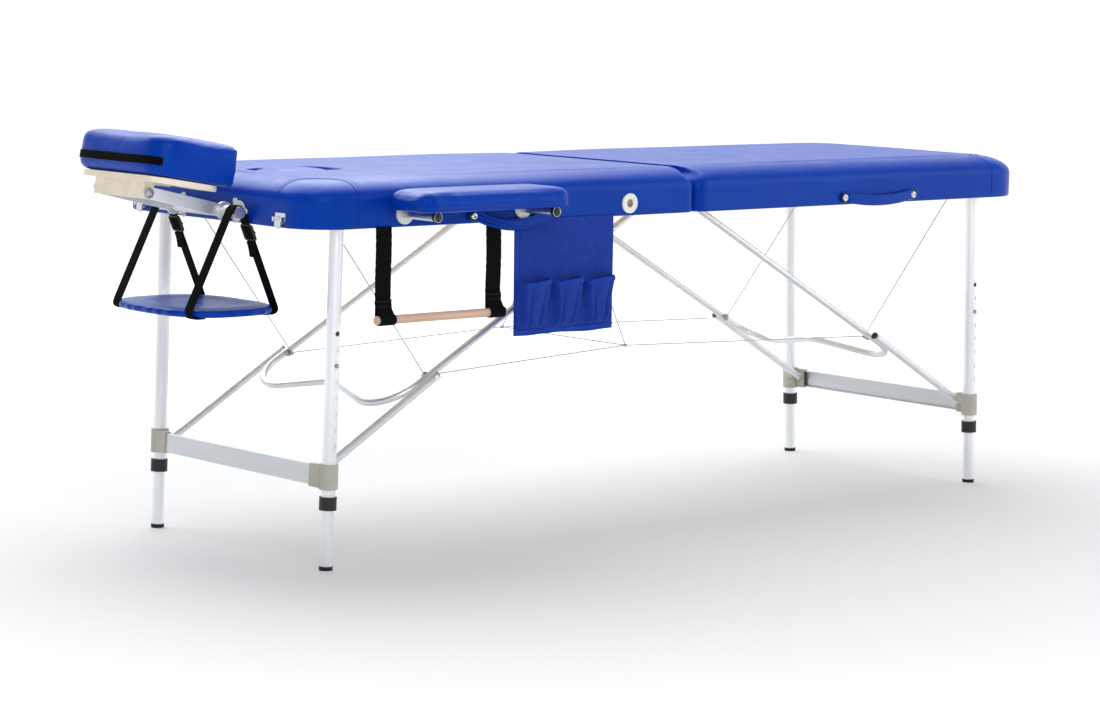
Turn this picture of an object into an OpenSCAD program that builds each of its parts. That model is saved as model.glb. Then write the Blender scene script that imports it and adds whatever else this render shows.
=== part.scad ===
// Portable folding massage table: two padded halves hinged at the middle, splayed telescopic legs
// with braces and steel cables, a face cradle, an arm sling, two side armrests and side accessories.
// Millimetres, +Z up, floor at z = 0, head end towards -X, near side towards -Y.

/* [Table top] */
// Length of each half of the top
panel_l = 929; // [880:1:980]
// Extra length of the foot half past its legs
foot_more = 36; // [0:1:60]
// Width of the top
panel_w = 620; // [600:1:680]
// Height of the underside of the top above the floor
top_z = 617; // [600:1:640]
// Gap between the two halves at the centre seam
seam_gap = 2; // [1:0.5:3]
// Plan radius of the outer corners
corner_r = 80; // [60:1:100]
// Plan radius of the corners at the centre seam
seam_r = 22; // [16:1:30]
// Height of the timber rails
rail_h = 46; // [46:1:56]
// Thickness of the timber rails
rail_t = 18; // [15:0.5:20]
// Thickness of the plywood deck
deck_t = 5; // [3:0.5:8]
// Thickness of the foam at its edge
foam_t = 34; // [28:1:60]
// Extra height of the foam in the middle
crown = 3; // [1:0.5:6]
// Height of the rounded edge of the foam
edge_r = 30; // [12:1:32]
// Reach of the rounded edge of the foam over the top
edge_in = 52; // [30:1:60]
// Thickness of the vinyl cover
vinyl_t = 1.5; // [1:0.1:2]

/* [Face hole] */
// Distance of the middle of the face hole from the head end
face_hole_in = 190; // [170:1:230]
// Length of the face hole along the table
face_hole_length = 180; // [150:1:200]
// Width of the face hole
face_hole_width = 112; // [90:1:130]
// Gap all round between the plug and the hole
plug_gap = 0.6; // [0.4:0.1:0.9]

/* [Legs] */
// Outer diameter of the upper leg tube
leg_d = 26; // [25:0.5:28]
// Bore of the upper leg tube
leg_bore = 23.2; // [22:0.1:24]
// Radial play of the lower tube in the upper tube
leg_play = 0.1; // [0.05:0.01:0.2]
// Wall of the lower leg tube
inner_wall = 1.4; // [1:0.1:2]
// Outward lean of the legs in degrees
splay = 1.66; // [0.5:0.01:3]
// Distance of the leg pivots from the end of the top
leg_inset = 86.5; // [80:0.5:100]
// Distance of each leg from the side of the top
leg_side = 40; // [39:0.5:42]
// Height of the leg pivots above the underside of the top
leg_up = 21; // [20:0.5:24]
// Length of the upper tube below its pivot
outer_l = 526; // [515:1:540]
// Length of the upper tube above its pivot
leg_top = 13; // [11:0.5:14]
// Distance of the first height hole below the pivot
hole_s = 210; // [200:1:220]
// Spacing of the height holes
hole_pitch = 29; // [26:0.5:30]
// Number of height holes
hole_n = 8; // [6:1:8]
// Diameter of the height holes
hole_d = 9; // [8:0.1:10]
// Number of the hole that the spring button sits in, counted from zero
button_hole = 2; // [0:1:5]
// Diameter of the spring button
button_d = 7.6; // [6:0.1:8]
// Height of the rubber tip
tip_h = 7; // [6:0.5:10]
// Diameter of the rubber tip
tip_d = 25; // [24.6:0.1:30]

/* [Leg clamps and cross bar] */
// Distance of the clamps above the lower end of the upper tubes
clamp_up = 57; // [50:1:60]
// Outer diameter of the clamp sleeve
clamp_d = 34; // [32:0.5:34]
// Height of the clamp
clamp_h = 45; // [42:0.5:50]
// Height of the cross bar
bar_h = 36; // [30:0.5:37]
// Depth of the cross bar channel
bar_t = 8; // [6:0.5:9]
// Wall of the cross bar channel
bar_wall = 2; // [1.5:0.1:3]
// Distance of the cross bar outside the leg axis
bar_off = 5; // [4.5:0.1:6]
// Diameter of the collar
collar_d = 32; // [30:0.5:34]
// Height of the collar
collar_h = 24; // [20:0.5:28]

/* [Braces] */
// Distance of the brace pivots from the centre seam
brace_x = 40; // [38:0.5:50]
// Height of the brace pivots above the underside of the top
brace_up = 23; // [21:0.5:25]
// Distance of the elbow of the brace from the centre seam
elbow_x = 594; // [570:1:610]
// Height of the elbow of the brace above the floor
elbow_z = 327; // [310:1:340]
// Diameter of the bent brace tube
brace_d = 13; // [12:0.5:14]
// Distance of the brace arms inside the legs
brace_off = 48; // [48:0.5:50]
// Bend radius at the corners of the brace tube
bend_r = 75; // [65:1:80]
// Straight length of the brace arm beyond the elbow
bend_start = 27; // [20:1:35]
// Angle that the middle of the brace tube dips back by
dip_a = 18; // [10:0.5:20]
// Bend radius in the middle of the brace tube
dip_r = 100; // [80:1:120]
// Diameter of the strut tube
strut_d = 15; // [14:0.5:15]
// Bore of the strut tube
strut_bore = 12; // [10:0.5:12.5]
// Distance of the struts inside the legs
strut_off = 29; // [28:0.5:29.5]
// Distance of the strut bolts above the middle of the clamps
strut_up = 8; // [4:0.5:10]
// Distance of the strut bolt from the leg axis, towards the middle of the table
strut_in = 8.9; // [8:0.1:10]
// Diameter of the strut bolts
bolt_d = 6; // [5:0.1:6.5]
// Diameter of the steel cables
cable_d = 2.4; // [1.6:0.1:3]

/* [Accessory sockets] */
// Bore of the accessory sockets
socket_bore = 16; // [14:0.1:18]
// Outer diameter of the socket sleeve
sleeve_d = 22; // [21:0.5:26]
// Diameter of the socket flange
flange_d = 38; // [34:0.5:40]
// Thickness of the socket flange
flange_t = 3.5; // [2.5:0.1:4]
// Height of the side sockets above the underside of the top
socket_up = 23; // [21:0.5:24]
// Distances of the side sockets from the centre seam
socket_x = [723, 445, 178]; // [150:1:760]
// Distance of the head end sockets from the middle plane
rod_y = 92; // [85:0.5:96]

/* [Face cradle] */
// Reach of the cradle base tube in front of the head end
base_out = 25; // [22:0.5:35]
// Diameter of the cradle base tube
base_d = 22; // [20:0.5:24]
// Length of the cradle base tube
base_l = 262; // [258:1:280]
// Distance of the cradle arms from the middle plane
cradle_arm_y = 80; // [76:0.5:80]
// Width of the cradle arms
cradle_arm_w = 22; // [18:0.5:24]
// Thickness of the cradle arms
cradle_arm_t = 4; // [3:0.5:4]
// Length of the cradle arms between their pivots
cradle_arm_l = 166.5; // [150:0.5:180]
// Rise of the cradle arms in degrees
cradle_rise = 13; // [10:0.5:16]
// Tilt of the cradle plate in degrees
cradle_tilt = 9.3; // [6:0.1:12]
// Length of the face cushion
cushion_l = 165; // [150:1:204]
// Width of the face cushion
cushion_w = 280; // [260:1:300]
// Thickness of the face cushion
cushion_h = 74; // [60:1:85]
// Width of the breathing gap in the face cushion
breath_w = 104; // [90:1:120]
// Thickness of the cradle plate
plate_t = 10; // [8:0.5:12]
// Height of the cradle plate above its pivot
plate_up = 19.6; // [18:0.1:24]

/* [Arm sling] */
// Length of the sling shelf along the table
shelf_l = 226; // [210:1:240]
// Width of the sling shelf
shelf_w = 284; // [270:1:300]
// Thickness of the sling shelf
shelf_h = 15; // [12:0.5:20]
// Plan radius of the sling shelf
shelf_r = 50; // [40:1:60]
// Height of the underside of the sling shelf
shelf_z = 452; // [430:1:470]
// Width of the sling straps
strap_w = 25; // [22:0.5:26]
// Thickness of the straps
strap_t = 2.2; // [1.6:0.1:2.6]
// Distance of the sling straps from the middle plane
strap_y = 115; // [114.5:0.5:117]

/* [Armrests] */
// Length of the armrest
armrest_l = 345; // [330:1:400]
// Width of the armrest
armrest_w = 116; // [100:1:140]
// Thickness of the armrest
armrest_h = 38; // [30:1:50]
// Plan radius of the armrest corners
armrest_r = 26; // [18:1:40]
// Distance of the head end of the armrests from the centre seam
armrest_x = 770; // [760:1:780]
// Length of the armrest rods outside the top
armrest_rod = 92; // [80:1:98]

/* [Side accessories] */
// Distance of the middle of the head half's handle from the centre seam
head_handle_x = 466; // [455:1:480]
// Distance of the middle of the foot half's handle from the centre seam
foot_handle_x = 510; // [490:1:520]
// Distance between the handle screws
handle_l = 202; // [180:1:210]
// Droop of the handles in the middle, head half then foot half
handle_drop = [20, 8]; // [6:1:32]
// Width of the handle strap
handle_w = 22; // [18:0.5:24]
// Thickness of the handle strap
handle_t = 9; // [6:0.5:10]
// Distances of the roll holder straps from the centre seam
roll_x = [771, 515]; // [500:1:790]
// Width of the roll holder straps
roll_w = 36; // [30:0.5:38]
// Length of the dowel
dowel_l = 300; // [296:1:310]
// Diameter of the dowel
dowel_d = 16; // [14:0.5:20]
// Drop of the dowel below the underside of the top
dowel_drop = 165; // [140:1:170]
// Distance of the head side of the pouch from the centre seam
pouch_x = 465; // [455:1:470]
// Width of the pouch
pouch_w = 246; // [230:1:250]
// Height of the pouch below the underside of the top
pouch_h = 214; // [200:1:230]
// Depth of the pockets below their mouths
pocket_h = 92; // [80:1:110]
// Bulge of the pockets
pocket_out = 20; // [16:0.5:24]
// Number of pockets
pocket_n = 3; // [2:1:4]

/* [Clearances] */
// Radial play of a pin in its bore
run = 0.05; // [0.02:0.01:0.1]
// Play between parts that are slipped over each other
slip = 0.1; // [0.05:0.01:0.2]
// Gap between soft parts and what carries them
seat = 0.3; // [0.2:0.05:0.6]
// Side play between parts that swing past each other
side_play = 0.5; // [0.3:0.05:0.6]

/* [Hidden] */
$fn = 48;
end_x = panel_l + seam_gap / 2;
half_w = panel_w / 2;
// Overrun of a cut past the faces that it goes through
over = 1;
deck_z = top_z + rail_h;
foam_z = deck_z + deck_t;
edge_z = foam_z + foam_t;

pivot_x = end_x - leg_inset;
pivot_z = top_z + leg_up;
pivot_d = 8;
pin_past = 2;
plate_s = 3;
cheek_d = 24;
leg_y = half_w - leg_side;
clamp_s = outer_l - clamp_up;
strut_s = clamp_s - strut_up;
strut_y = leg_y - strut_off;
brace_y = leg_y - brace_off;
latch_y = half_w - 90;
hinge_y = half_w - 140;
leg_l = pivot_z / cos(splay);
inner_d = leg_bore - 2 * leg_play;
button_s = hole_s + button_hole * hole_pitch;
inner_top = 40;
fold_z = top_z - 3;

brace_z = top_z + brace_up;
strut_pivot = leg_point(-strut_in, strut_s);
elbow = [elbow_x, elbow_z];
brace_pivot = [brace_x, brace_z];
arm_a = atan2(brace_z - elbow_z, elbow_x - brace_x);
arm_l = norm(elbow - brace_pivot);
strut_v = elbow - strut_pivot;
strut_a = atan2(strut_v.y, -strut_v.x);
strut_l = norm(strut_v);

socket_z = top_z + socket_up;
rod_z = top_z + leg_up;
rod_d = socket_bore - 2 * slip;
rod_in = 125;
base_x = end_x + base_out;
cradle_x = base_x + cradle_arm_l * cos(cradle_rise);
cradle_z = rod_z + cradle_arm_l * sin(cradle_rise);
cushion_out = 30;
cushion_up = plate_up + plate_t;
cushion_bar = (cushion_w - breath_w) / 2;
hole_round = 0.42;

strap_edge = 22;
shelf_edge = 6;
strap_in = 84;
strap_out = shelf_l - strap_in - 2 * strap_edge;
shelf_top = shelf_z + shelf_h - 1;

rod_cap = 1;
rod_cap_l = 6;
arm_rest_z = socket_z + rod_d / 2 + rod_cap + seat;
strap_top = 2;
dowel_z = top_z - dowel_drop;
hang_y = half_w + seat;
dowel_y = hang_y + strap_t + run + dowel_d / 2;

// Shift along X that puts the origin under the middle of the whole table
head_reach = max([for (p = cushion_points()) -cradle_place(p).x]);
seam_x = (head_reach - half_end(1)) / 2;

alu = [0.80, 0.81, 0.83];
steel = [0.66, 0.67, 0.69];
vinyl_blue = [0.05, 0.20, 0.68];
cloth_blue = [0.09, 0.22, 0.60];
timber = [0.86, 0.75, 0.58];
ply = [0.93, 0.86, 0.72];
grey_plastic = [0.70, 0.69, 0.64];
black = [0.07, 0.07, 0.08];
white = [0.92, 0.92, 0.90];

// Length of a half of the top, and the distance of its end from the centre seam
function half_l(e) = panel_l + (e > 0 ? foot_more : 0);
function half_end(e) = half_l(e) + seam_gap / 2;

// Point in the XZ plane at x outside the leg axis and s below the leg pivot
function leg_point(x, s) =
    [pivot_x + x * cos(splay) + s * sin(splay), pivot_z + x * sin(splay) - s * cos(splay)];

// Points of a rounded rectangle from x = 0 to l, with radius re at x = l and rs at x = 0,
// its straight sides drawn in by d in their middles
function rounded(l, w, re, rs, d = 0, nc = 5, ns = 4) = concat(
    [for (j = [0:ns]) [rs + (l - re - rs) * j / ns, -w / 2 + d * sin(180 * j / ns)]],
    [for (i = [1:nc - 1]) [l - re, -w / 2 + re] + re * [sin(90 * i / nc), -cos(90 * i / nc)]],
    [for (j = [0:ns]) [l - d * sin(180 * j / ns), -w / 2 + re + (w - 2 * re) * j / ns]],
    [for (i = [1:nc - 1]) [l - re, w / 2 - re] + re * [cos(90 * i / nc), sin(90 * i / nc)]],
    [for (j = [0:ns]) [l - re - (l - re - rs) * j / ns, w / 2 - d * sin(180 * j / ns)]],
    [for (i = [1:nc - 1]) [rs, w / 2 - rs] + rs * [-sin(90 * i / nc), cos(90 * i / nc)]],
    [for (j = [0:ns]) [d * sin(180 * j / ns), w / 2 - rs - (w - 2 * rs) * j / ns]],
    [for (i = [1:nc - 1]) [rs, -w / 2 + rs] + rs * [-cos(90 * i / nc), -sin(90 * i / nc)]]);

// The same outline moved in by i, but by no more than j at x = 0, and lifted to z
function ring(l, w, re, rs, i, z, d = 0, j = 1000) = let (k = min(i, j))
    [for (p = rounded(l - i - k, w - 2 * i, re - i, max(rs - i, 1), d)) [p.x + k, p.y, z]];

// Ring that lies the share t of the way from ring a to ring b, lifted to z
function between(a, b, t, z) = [for (k = [0:len(a) - 1]) [each (a[k] * (1 - t) + b[k] * t), z] ];
function flat(a) = [for (p = a) [p.x, p.y]];

// Closed skin through a stack of rings; the last ring joins the first when it goes through a hole
module skin(rings, through = false) {
    n = len(rings[0]);
    m = len(rings);
    low = center(rings[0]);
    high = center(rings[m - 1]);
    points = concat([for (r = rings) each r], through ? [] : [low, high]);
    walls = [for (i = [0:(through ? m - 1 : m - 2)]) for (k = [0:n - 1])
        let (a = i * n + k, b = i * n + (k + 1) % n, c = ((i + 1) % m) * n + k,
             e = ((i + 1) % m) * n + (k + 1) % n)
        each [[a, c, b], [b, c, e]]];
    caps = through ? [] : [for (k = [0:n - 1])
        each [[m * n, k, (k + 1) % n], [m * n + 1, (m - 1) * n + (k + 1) % n, (m - 1) * n + k]]];
    polyhedron(points, concat(walls, caps));
}
function center(r) = [for (i = [0:2]) sum([for (p = r) p[i]]) / len(r)];
function sum(v, i = 0) = i < len(v) ? v[i] + sum(v, i + 1) : 0;

// Squared-off oval section of n points, w wide and h high
function oval(w, h, n = 16) = [for (i = [0:n - 1]) let (a = 360 * i / n)
    [w / 2 * sign(cos(a)) * pow(abs(cos(a)), 0.6), h / 2 * sign(sin(a)) * pow(abs(sin(a)), 0.6)]];

// Path of the face cushion's middle line in plan: a U that opens towards the table
function cushion_path(a = cushion_bar / 2, r = cushion_bar / 2 + 2, back = cushion_l - cushion_out) = concat(
    [for (x = [back - 8, back - 22, cushion_l / 2]) [x, a - cushion_w / 2, 180]],
    [for (i = [0:5]) let (b = 18 * i)
        [a + r - cushion_out - r * sin(b), a + r - cushion_w / 2 - r * cos(b), 180 - b]],
    [[a - cushion_out, 0, 90]],
    [for (i = [0:5]) let (b = 18 * i)
        [a + r - cushion_out - r * cos(b), cushion_w / 2 - a - r + r * sin(b), 90 - b]],
    [for (x = [cushion_l / 2, back - 22, back - 8]) [x, cushion_w / 2 - a, 0]]);
function cushion_rings() = let (path = cushion_path(), last = len(path) - 1) [for (i = [0:last])
    let (s = i == 0 || i == last ? 0.72 : 1, p = path[i])
    [for (q = oval(cushion_bar * s, cushion_h * s))
        [p.x - q.x * sin(p.z), p.y + q.x * cos(p.z), cushion_up + cushion_h / 2 + q.y]]];
function cushion_points() = [for (r = cushion_rings()) each r];

// Place in the XZ plane of a point of the tilted cradle, measured from its pivot
function cradle_place(p) = [-cradle_x + p.x * cos(cradle_tilt) + p[2] * sin(cradle_tilt),
    cradle_z - p.x * sin(cradle_tilt) + p[2] * cos(cradle_tilt)];

module at_end(e) {
    translate([seam_x, 0, 0])
        if (e < 0) mirror([1, 0, 0]) children();
        else children();
}
module at_side(s) {
    if (s < 0) mirror([0, 1, 0]) children();
    else children();
}
module both_sides() {
    at_side(1) children();
    at_side(-1) children();
}
module along_leg() translate([pivot_x, leg_y, pivot_z]) rotate([0, -splay, 0]) children();
module across(d, l) rotate([90, 0, 0]) cylinder(d = d, h = l, center = true);
module outward(d, l) rotate([-90, 0, 0]) cylinder(d = d, h = l);

// Plan of one half of the top, moved in by i all round
module plan(e, i = 0) {
    l = half_l(e) - 2 * i;
    w = panel_w - 2 * i;
    re = corner_r - i;
    rs = max(seam_r - i, 1);
    translate([seam_gap / 2 + i, 0]) {
        translate([rs, -w / 2]) square([l - rs - re, w]);
        translate([0, rs - w / 2]) square([l - re, w - 2 * rs]);
        translate([l - re - 1, re - w / 2]) square([re + 1, w - 2 * re]);
        for (s = [-1, 1]) {
            translate([l - re, s * (w / 2 - re)]) circle(re);
            translate([rs, s * (w / 2 - rs)]) circle(rs);
        }
    }
}

// Places of the socket bores in one half: the side sockets, then the head end sockets
module side_socket_places() {
    for (x = socket_x) both_sides() translate([x, half_w, socket_z]) rotate([-90, 0, 0]) children();
}
module end_socket_places() {
    both_sides() translate([end_x, rod_y, rod_z]) rotate([0, 90, 0]) children();
}
module socket_holes() {
    side_socket_places() socket_hole();
    end_socket_places() socket_hole();
}
module socket_hole() translate([0, 0, -socket_past - rail_t])
    cylinder(d = sleeve_d + 2 * slip, h = rail_t + 2 * socket_past);
socket_past = 5;

// Timber frame: four rails glued to corner blocks, with two ribs under the deck
rib_at = [0.333, 0.62];
rib_gap = 10;
module frame(e) color(timber) at_end(e) {
    difference() {
        translate([0, 0, top_z]) linear_extrude(rail_h) difference() {
            plan(e, vinyl_t);
            plan(e, vinyl_t + rail_t);
            frame_joints(half_end(e));
        }
        if (e < 0) socket_holes();
    }
    rib_l = 2 * (brace_y - brace_d / 2 - rib_gap);
    for (u = rib_at) translate([u * half_l(e), -rib_l / 2, deck_z - rail_t]) cube([rail_t, rib_l, rail_t]);
}
// Glue lines between the rails and the corner blocks
module frame_joints(l) {
    seam_block = seam_gap / 2 + vinyl_t + rail_t + seam_r;
    for (x = [l - corner_r, seam_block]) translate([x, -panel_w]) square([slip, 2 * panel_w]);
    for (s = [-1, 1]) {
        translate([l / 2, s * (half_w - corner_r)]) square([l, slip]);
        translate([0, s * (half_w - vinyl_t - rail_t - seam_r)]) square([l / 2, slip]);
    }
}

module deck(e) color(ply) at_end(e) translate([0, 0, deck_z]) linear_extrude(deck_t) difference() {
    plan(e, vinyl_t);
    if (e < 0) translate([end_x - face_hole_in, 0]) face_outline(0);
}
module face_outline(i) {
    r = hole_round * face_hole_width - i;
    for (x = [-1, 1], y = [-1, 1])
        translate([x * (face_hole_length / 2 - i - r), y * (face_hole_width / 2 - i - r)]) circle(r);
    square([face_hole_length - 2 * i, face_hole_width - 2 * i - 2 * r], center = true);
    square([face_hole_length - 2 * i - 2 * r, face_hole_width - 2 * i], center = true);
}

// Rings up the side of a pad and round its upper edge
function pad_rings(l, w, re, rs, h, er, d = 0) = concat(
    [ring(l, w, re, rs, 0, 0, d), ring(l, w, re, rs, 0, h - er, d)],
    [for (a = [30, 60, 90]) ring(l, w, re, rs, min(er, rs - 1) * (1 - cos(a)), h - er + er * sin(a), d)]);

// Rings of the foam of one half: its edges roll over widely, but not at the centre seam
seam_in = 14;
function roll_rings(l, w = panel_w) = concat(
    [ring(l, w, corner_r, seam_r, 0, 0), ring(l, w, corner_r, seam_r, 0, foam_t - edge_r)],
    [for (a = [20, 40, 60, 75, 90])
        ring(l, w, corner_r, seam_r, edge_in * (1 - cos(a)), foam_t - edge_r + edge_r * sin(a), 0, seam_in)]);

module top_pad(e) color(vinyl_blue) at_end(e) translate([seam_gap / 2, 0, foam_z]) {
    sides = roll_rings(half_l(e));
    edge = flat(sides[len(sides) - 1]);
    hole_r = hole_round * face_hole_width;
    hole = [for (p = rounded(face_hole_length, face_hole_width, hole_r, hole_r))
        p + [panel_l - face_hole_in - face_hole_length / 2, 0]];
    middle = [half_l(e) / 2, 0];
    core = [for (p = edge) middle + 0.3 * (p - middle)];
    if (e < 0)
        skin(concat(sides, [for (t = [0.3, 0.65, 1]) between(edge, hole, t, foam_t + crown * t * (2 - t))],
            [[for (p = hole) [p.x, p.y, 0]]]), true);
    else
        skin(concat(sides, [for (t = [0.4, 1]) between(edge, core, t, foam_t + crown * t * (2 - t))]));
}

module skirt(e) color(vinyl_blue) at_end(e) difference() {
    translate([0, 0, top_z]) linear_extrude(rail_h + deck_t) difference() {
        plan(e);
        plan(e, vinyl_t);
    }
    if (e < 0) socket_holes();
}

module face_plug() {
    l = face_hole_length - 2 * plug_gap;
    w = face_hole_width - 2 * plug_gap;
    r = hole_round * face_hole_width - plug_gap;
    plug_edge = 6;
    plug_crown = 2;
    sides = pad_rings(l, w, r, r, foam_t + crown, plug_edge);
    edge = flat(sides[len(sides) - 1]);
    core = [for (p = edge) [l / 2, 0] + 0.4 * (p - [l / 2, 0])];
    color(vinyl_blue) at_end(-1) translate([end_x - face_hole_in - l / 2, 0, foam_z])
        skin(concat(sides, [for (t = [0.5, 1]) between(edge, core, t, foam_t + crown + plug_crown * t)]));
    color(ply) at_end(-1) translate([end_x - face_hole_in, 0, deck_z]) linear_extrude(deck_t)
        face_outline(plug_gap);
}

// Screw ears of the head end sockets
ear_d = 11;
ear_hole_d = 4;
module sockets() color(white) at_end(-1) {
    side_socket_places() socket();
    end_socket_places() {
        socket();
        for (a = [90, 210, 330]) rotate(a) difference() {
            translate([flange_d / 2 + 1, 0, 0]) cylinder(d = ear_d, h = flange_t);
            translate([flange_d / 2 + 2, 0, -over]) cylinder(d = ear_hole_d, h = flange_t + 2 * over);
            translate([0, 0, -over]) cylinder(d = flange_d - 4, h = flange_t + 2 * over);
        }
    }
}
module socket() difference() {
    union() {
        cylinder(d = flange_d, h = flange_t);
        translate([0, 0, -vinyl_t - rail_t]) cylinder(d = sleeve_d, h = rail_t + vinyl_t + 1);
    }
    translate([0, 0, -rail_t - socket_past]) cylinder(d = socket_bore, h = rail_t + 4 * socket_past);
}

// Brackets under the deck that carry the leg pivots and the brace pivots, each with its pin
module bracket(d, z) {
    cheek_y = d / 2 + side_play;
    base_w = d + 2 * side_play + 2 * plate_s;
    for (s = [-1, 1]) translate([0, s * (cheek_y + plate_s / 2), 0]) {
        across(cheek_d, plate_s);
        translate([-cheek_d / 2, -plate_s / 2, 0]) cube([cheek_d, plate_s, z]);
    }
    translate([-cheek_d / 2, -base_w / 2, z - plate_s]) cube([cheek_d, base_w, plate_s]);
    across(pivot_d, base_w + 2 * pin_past);
}
module brackets(e) color(steel) at_end(e) both_sides() {
    translate([pivot_x, leg_y, pivot_z]) bracket(leg_d, deck_z - pivot_z);
    translate([brace_x, brace_y, brace_z]) bracket(brace_d, deck_z - brace_z);
    translate([0, hinge_y, 0]) hinge_leaf(e < 0 ? [-1, 1] : [0], e < 0 ? [0] : [-1, 1]);
}

module leg_tubes(e) color(alu) at_end(e) both_sides() along_leg() difference() {
    translate([0, 0, -outer_l]) cylinder(d = leg_d, h = outer_l + leg_top);
    translate([0, 0, -outer_l - over]) cylinder(d = leg_bore, h = outer_l + leg_top + 2 * over);
    across(pivot_d + 2 * run, leg_d + 2 * over);
    for (k = [0:hole_n - 1]) translate([0, 0, -hole_s - k * hole_pitch]) outward(hole_d, leg_d);
}

module leg_clamps(e) color(grey_plastic) at_end(e) both_sides() along_leg() translate([0, 0, -clamp_s]) {
    arm_in = strut_off + strut_d / 2 + bar_land;
    difference() {
        union() {
            cylinder(d = clamp_d, h = clamp_h, center = true);
            translate([bar_off - bar_shell, -arm_in, -bar_h / 2 - bar_shell])
                cube([bar_t + 2 * bar_shell, arm_in - clamp_d / 4, bar_h + 2 * bar_shell]);
            translate([-strut_in, 0, strut_up]) rotate([90, 0, 0]) cylinder(d = lug_d, h = lug_y);
        }
        cylinder(d = leg_d + 2 * slip, h = clamp_h + 2 * over, center = true);
        translate([bar_off - slip, -arm_in - over, -bar_h / 2 - slip])
            cube([bar_t + 2 * slip, arm_in + over - bar_end, bar_h + 2 * slip]);
        translate([-strut_in, -lug_y - over, strut_up]) outward(bolt_d + 2 * run, bolt_in + 2 * over);
    }
}
// Clamp walls round the end of the cross bar, and the lug that the strut bolts to
bar_shell = 2.5;
bar_land = 3;
lug_d = 18;
bolt_in = 6;
// Inward reach of the lug, and of the end of the cross bar, from the leg axis
lug_y = strut_off - strut_d / 2 - 1;
bar_end = leg_d / 2 + slip + bar_land;

module cross_bar(e) color(alu) at_end(e) translate([pivot_x, 0, pivot_z]) rotate([0, -splay, 0])
    translate([bar_off, 0, -clamp_s]) rotate([90, 0, 0])
        linear_extrude(2 * (leg_y - bar_end - slip), center = true) difference() {
            translate([0, -bar_h / 2]) square([bar_t, bar_h]);
            translate([-over, bar_wall - bar_h / 2])
                square([bar_t - bar_wall + over, bar_h - 2 * bar_wall]);
        }

// Collars on the lower ends of the upper tubes, with a lip under the tube
collar_lip = 3;
module collars(e) color(black) at_end(e) both_sides() along_leg()
    translate([0, 0, -outer_l - collar_lip]) difference() {
        cylinder(d = collar_d, h = collar_h);
        translate([0, 0, collar_lip]) cylinder(d = leg_d + 2 * slip, h = collar_h);
        translate([0, 0, -over]) cylinder(d = leg_bore, h = collar_lip + 2 * over);
    }

// Lower legs, which stand on the floors of their rubber tips
tip_floor = 2;
module lower_leg(e, s) color(alu) at_end(e) at_side(s) along_leg() difference() {
    tube_l = leg_l - button_s + inner_top;
    translate([0, 0, -leg_l + tip_floor]) cylinder(d = inner_d, h = tube_l - tip_floor);
    translate([0, 0, -leg_l]) cylinder(d = inner_d - 2 * inner_wall, h = tube_l + over);
    translate([0, 0, -button_s]) outward(button_d + 2 * slip, leg_d);
}

// Rubber tips, cut level with the floor
tip_cut = 3;
module tip(e, s) color(black) difference() {
    at_end(e) at_side(s) along_leg() difference() {
        translate([0, 0, -leg_l - tip_cut]) cylinder(d = tip_d, h = tip_h + tip_cut);
        translate([0, 0, -leg_l + tip_floor - seat]) cylinder(d = inner_d + 2 * slip, h = tip_h);
    }
    translate([seam_x - 2 * end_x, -panel_w, -tip_d]) cube([4 * end_x, 2 * panel_w, tip_d]);
}

// Spring buttons with a rim inside the lower tube
button_out = 1;
button_rim = 3;
button_rim_h = 4;
module button(e, s) color(steel) at_end(e) at_side(s) along_leg() translate([0, 0, -button_s]) {
    outward(button_d, leg_d / 2 + button_out);
    translate([0, leg_d / 2 + button_out, 0]) intersection() {
        sphere(d = button_d);
        outward(button_d, button_d);
    }
    translate([0, 1, 0]) outward(button_d + button_rim, button_rim_h);
}

// Frame along a strut: its leg bolt at the origin, its elbow bolt at -x
module along_strut() translate([strut_pivot.x, strut_y, strut_pivot.y]) rotate([0, strut_a, 0]) children();
module struts(e) color(alu) at_end(e) both_sides() along_strut() {
    tube_l = strut_l + 2 * strut_past;
    difference() {
        translate([-strut_l - strut_past, 0, 0]) rotate([0, 90, 0]) cylinder(d = strut_d, h = tube_l);
        translate([-strut_l - strut_past - over, 0, 0]) rotate([0, 90, 0])
            cylinder(d = strut_bore, h = tube_l + 2 * over);
        for (x = [0, -strut_l]) translate([x, 0, 0]) across(bolt_d + 2 * slip, strut_d + 2 * over);
    }
    for (x = [0, -strut_l]) translate([x, 0, 0]) {
        in_y = x == 0 ? -strut_d / 2 - slip : brace_d / 2 + bolt_gap - (brace_off - strut_off);
        head_y = x == 0 ? in_y - bolt_head : strut_d / 2 + slip;
        translate([0, in_y, 0]) outward(bolt_d, bolt_reach(x) - in_y);
        translate([0, head_y, 0]) outward(2 * bolt_d, bolt_head);
    }
}
// Straight ends of the struts past their bolts; bolt heads; gap between the elbow bolts and the brace arms
strut_past = 7.5;
bolt_head = 2.5;
bolt_gap = 0.7;
// Outward reach of the strut bolts: into the clamp's lug at the leg, to the bolt head at the elbow
function bolt_reach(x) = x == 0 ? strut_off - lug_y + bolt_in : strut_d / 2 + slip + 1;

module strut_plugs(e) color(black) at_end(e) both_sides() along_strut()
    translate([-strut_l - strut_past - plug_t, 0, 0]) rotate([0, 90, 0]) {
        cylinder(d = strut_d, h = plug_t);
        cylinder(d = strut_bore - 2 * slip, h = plug_l);
    }
plug_t = 2;
plug_l = 5;

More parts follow.
